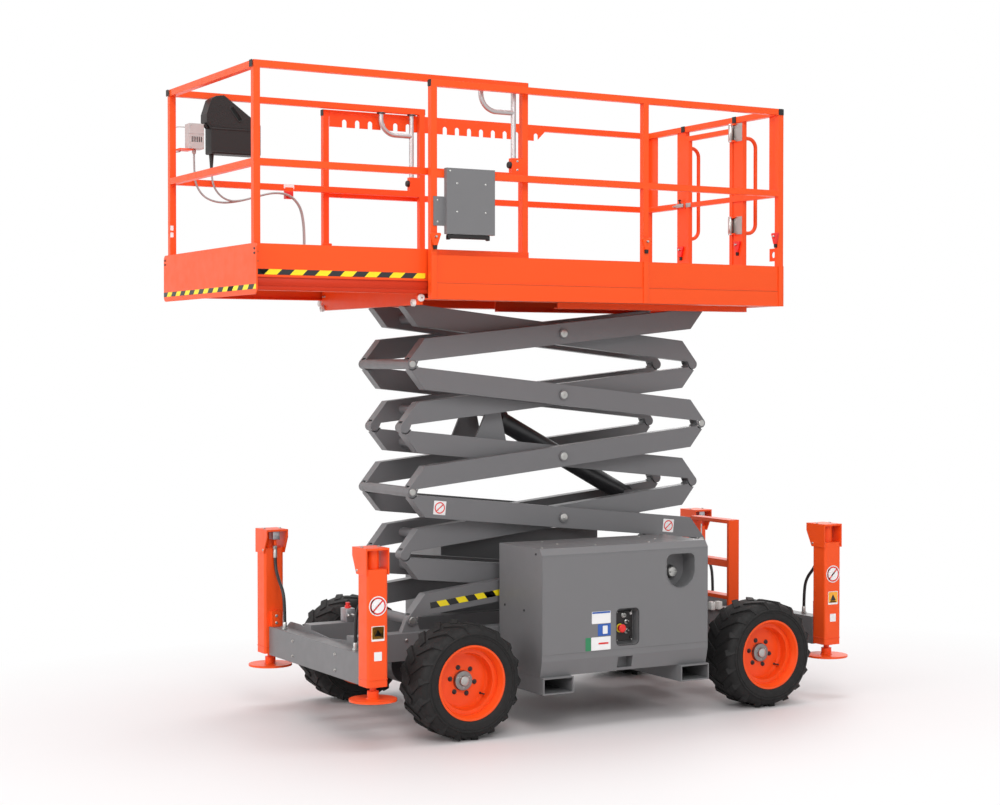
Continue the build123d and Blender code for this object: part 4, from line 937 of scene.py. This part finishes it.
def make_handles():
    kit = Kit("handle_feet", "extension", "black_plastic", "black_plastic", "black_metal", "zinc")
    for side in SIDES:
        y = side * (EXT_Y - TUBE / 2)
        for x in (0.666, 0.883):
            kit.lathe(on_deck(x, y, 1.134), Z, closed((0.0275, 0), (0.0275, 0.006), (0.0262, 0.0088)), 28, 1)
        kit.lathe(on_deck(0.687, y, 0.700), X, closed((0.020, 0), (0.020, 0.012), (0.017, 0.016)), 28)
        for z in (0.672, 0.722):
            kit.bolt(on_deck(0.650, y + side * 0.0195, z), Y * side, 0.006, 2)
    kit.done()


def make_control_trim():
    kit = Kit("control_trim", "extension", "black_plastic", "rough_plastic", "black_plastic", "black_metal")
    face = -0.5258
    cosine, sine = cos(SLOT_TURN), sin(SLOT_TURN)
    upper = ((2.066, 0.964), (2.092, 0.991), (2.092, 1.039), (2.063, 1.124), (2.036, 1.143), (1.991, 1.149),
             (1.970, 1.133), (1.762, 0.989), (1.762, 0.964))
    slot = [(MID + (1.914 + x * cosine - z * sine), FLOOR + (1.048 + x * sine + z * cosine))
            for x, z in rounded(0.108, 0.028, 0.0139)]
    pierced_plate(kit, [(MID + x, FLOOR + z) for x, z in upper], [slot], face, 0.0014)
    for low, high in ((0.950, 0.960), (0.812, 0.820)):
        kit.block(on_deck(1.757, face - 0.001, low), on_deck(2.069, face + 0.003, high), 0.002, 1)
    kit.tube([(x, face + 0.001, z) for x, z in slot], 0.003, 6, 1, loop=True)
    kit.lathe(on_deck(2.084, -0.576, 0.972), Vector((0.72, 0, -0.69)),
              ((0, 0.001), (0.020, 0.001), (0.020, 0.006), (0.016, 0.009), (0.012, 0.004), (0, 0.004)), 28, 2)
    kit.done()


def make_outlet_trim():
    kit = Kit("outlet_trim", "extension", "pale_plastic", "pale_plastic", "black_plastic", "zinc")
    low, high = LOW["outlet_box"], HIGH["outlet_box"]
    foot, top = FLOOR + 0.830, high.y + OFF
    kit.block((low.x - 0.0015, high.y - 0.030, foot + 0.088),
              (high.x + 0.0015, high.y + 0.0012, foot + 0.0925), 0.001)
    for i in range(6):
        x = low.x + 0.014 + 0.0115 * i
        kit.block((x, top - 0.001, foot + 0.040), (x + 0.0055, top + 0.0008, foot + 0.072), 0.0006, 1)
    for x in (low.x + 0.010, high.x - 0.010):
        for z in (0.010, 0.140):
            kit.rivet((x, top, foot + z), Y, 0.004, 2)
    kit.lathe(on_deck(OUTLET_ROUTE[0][0], OUTLET_Y, 0.8105), Z,
              capped((0.0065, -0.006), (0.0105, -0.005), (0.0125, 0.002), (0.0125, 0.018)), 20)
    for z, rise in ((0.965, 0), (0.815, 0.02)):
        kit.tube([on_deck(2.199, -0.632, z + rise), on_deck(2.235, -0.634, z),
                  on_deck(2.262, -0.640, z - 0.004)], 0.003, 8, 2)
    kit.done()
    collars = Kit("cable_collars", "extension", "black_rubber")
    collars.lathe(on_deck(CONTROL_ROUTE[0][0], CONTROL_Y, 0.724), -Z,
                  ((0.0088, -0.002), (0.0086, 0.006), (0.0074, 0.020), (0.0063, 0.022)), 20)
    for y in (CONTROL_Y, OUTLET_Y):
        collars.lathe(on_deck(CONTROL_ROUTE[-1][0], y, 0.0205), Z,
                      capped((0.0064, 0.016), (0.008, 0.012), (0.0095, 0)), 20)
    collars.done()


def make_platform_trim():
    stripes("side_stripe", "extension", on_deck(2.285, EXT_SIDE + STRIPE_OFF, 0.027), -X, Z,
            1.026, 0.030, 0.150, 0.030)
    stripes("front_stripe", "extension", on_deck(EXT_FRONT + STRIPE_OFF, -0.713, -0.053), Y, Z,
            1.426, 0.027, 0.148, 0.027)
    # the skirt's painted-shade orange is added to this mesh as its second material, though every block below
    # is drawn in the plain orange paint
    skirt = Kit("skirt_rail", "extension", "orange_paint", "shaded_orange")
    for side in SIDES:
        for low, high, proud in ((-0.057, -0.036, 0.003), (-0.036, 0.010, 0.0008), (0.010, 0.015, 0.003)):
            near, far = span(side, EXT_SIDE - 0.0005, EXT_SIDE + proud)
            skirt.block(on_deck(0.580, near, low), on_deck(2.294, far, high), 0.0004)
    skirt.done()
    posts = Kit("toe_posts", "deck", "orange_paint", "orange_paint", "seam_paint")
    for side in SIDES:
        near, far = span(side, DECK_Y - 0.001, DECK_Y + 0.006)
        for x in (POST_FRONT, POST_MIDDLE, DECK_REAR + TUBE / 2):
            posts.block(on_deck(x - TUBE / 2, near, -0.092), on_deck(x + TUBE / 2, far, 0.160), 0.003)
        near, far = span(side, DECK_Y - 0.001, DECK_Y + 0.0006)
        posts.block(on_deck(DECK_REAR + 0.040, near, 0.0005), on_deck(1.217, far, 0.0025), 0.0003, 1)
    posts.done()


def roller(rim, edge, width, boss):
    return closed((edge, 0), (rim, 0.002), (rim, width - 0.002), (edge, width), (0.009, width), (0.009, boss))


def make_front_rollers():
    kit = Kit("front_rollers", "deck", "pale_plastic", "roller_nylon", "zinc", "orange_paint")
    end, beam = DECK_FRONT + 0.020, DECK_FRONT + 0.040
    for side in SIDES:
        out = Y * side
        y, z = side * 0.617, -0.108
        kit.lathe(on_deck(beam + OFF, y, z), X, roller(0.021, 0.019, 0.019, 0.022), 32)
        kit.screw(on_deck(beam + 0.022, y, z), X, 0.006, 1)
        kit.lathe(on_deck(end, side * (0.640 + OFF), -0.080), out, roller(0.0217, 0.0195, 0.021, 0.023), 32)
        kit.screw(on_deck(end, side * (0.663 + OFF), -0.080), out, 0.006, 1)
        for y in (0.598, 0.626):
            kit.bolt(on_deck(beam + OFF, side * y, -0.033), X, 0.007, 1)
        kit.bolt(on_deck(end, side * (0.640 + OFF), -0.040), out, 0.006, 1)
    steps = ((-0.735, -0.090), (-0.676, -0.090), (-0.664, -0.075), (-0.664, -0.062), (-0.690, -0.062),
             (-0.690, -0.040), (-0.712, -0.040), (-0.712, -0.018), (-0.735, -0.018))
    kit.prism(steps, on_deck(DECK_FRONT + OFF, 0, 0), Y, Z, 0.016, 0.001, 2)
    kit.lathe(on_deck(DECK_FRONT + 0.016, -0.714, -0.074), X,
              closed((0.018, 0), (0.020, 0.002), (0.020, 0.012), (0.018, 0.014)), 28)
    kit.done()


PITCH, MARGIN = 0.044, 0.02
LOZENGE = ((0.015, 0.0042, 0.0), (0.0125, 0.0022, 0.0013))  # half length, half width and height, foot and top


def make_tread_plate(name, body, rear, front, floor):
    """Raised lozenges over a floor, in pairs that lie across each other."""
    kit = Kit(name, body, "orange_paint")
    half = 0.610
    row = 0
    y = -half + MARGIN
    while y < half - MARGIN:
        x = rear + MARGIN
        count = 0
        while x < front - MARGIN:
            turn = radians(45 if (row + count) % 2 else 135)
            cosine, sine = cos(turn), sin(turn)
            kit.faces([(MID + x + u * cosine - v * sine, y + u * sine + v * cosine, floor + height)
                       for length, width, height in LOZENGE
                       for u, v in ((length, 0), (0, width), (-length, 0), (0, -width))],
                      [(4, 5, 6, 7), (0, 1, 5, 4), (1, 2, 6, 5), (2, 3, 7, 6), (3, 0, 4, 7)])
            x += PITCH
            count += 1
        y += PITCH
        row += 1
    kit.done()


make_camera()
make_stage()
MATERIALS = {name: kind(name, *look) for kind, name, *look in MATERIAL_LIST}
for row in frame["record"]["subparts"]:
    node = frame["nodes"][row["node"]]
    node.data.materials.clear()
    node.data.materials.append(MATERIALS[row["material_slot"]])
frame["nodes"]["push_handles"].data.materials[0] = MATERIALS["handle_metal"]
make_cords()
make_wheels()
make_tread_fill()
make_jacks()
make_arm_trim()
make_module_trim()
make_base_controls()
make_chassis_trim()
make_gate_trim()
make_rail_pins()
make_rail_caps()
make_document_trim()
make_handles()
make_control_trim()
make_outlet_trim()
make_platform_trim()
make_front_rollers()
make_tread_plate("deck_tread", "deck", -1.225, 0.560, FLOOR)
make_tread_plate("extension_tread", "extension", 0.60, 2.285, FLOOR + 0.011)
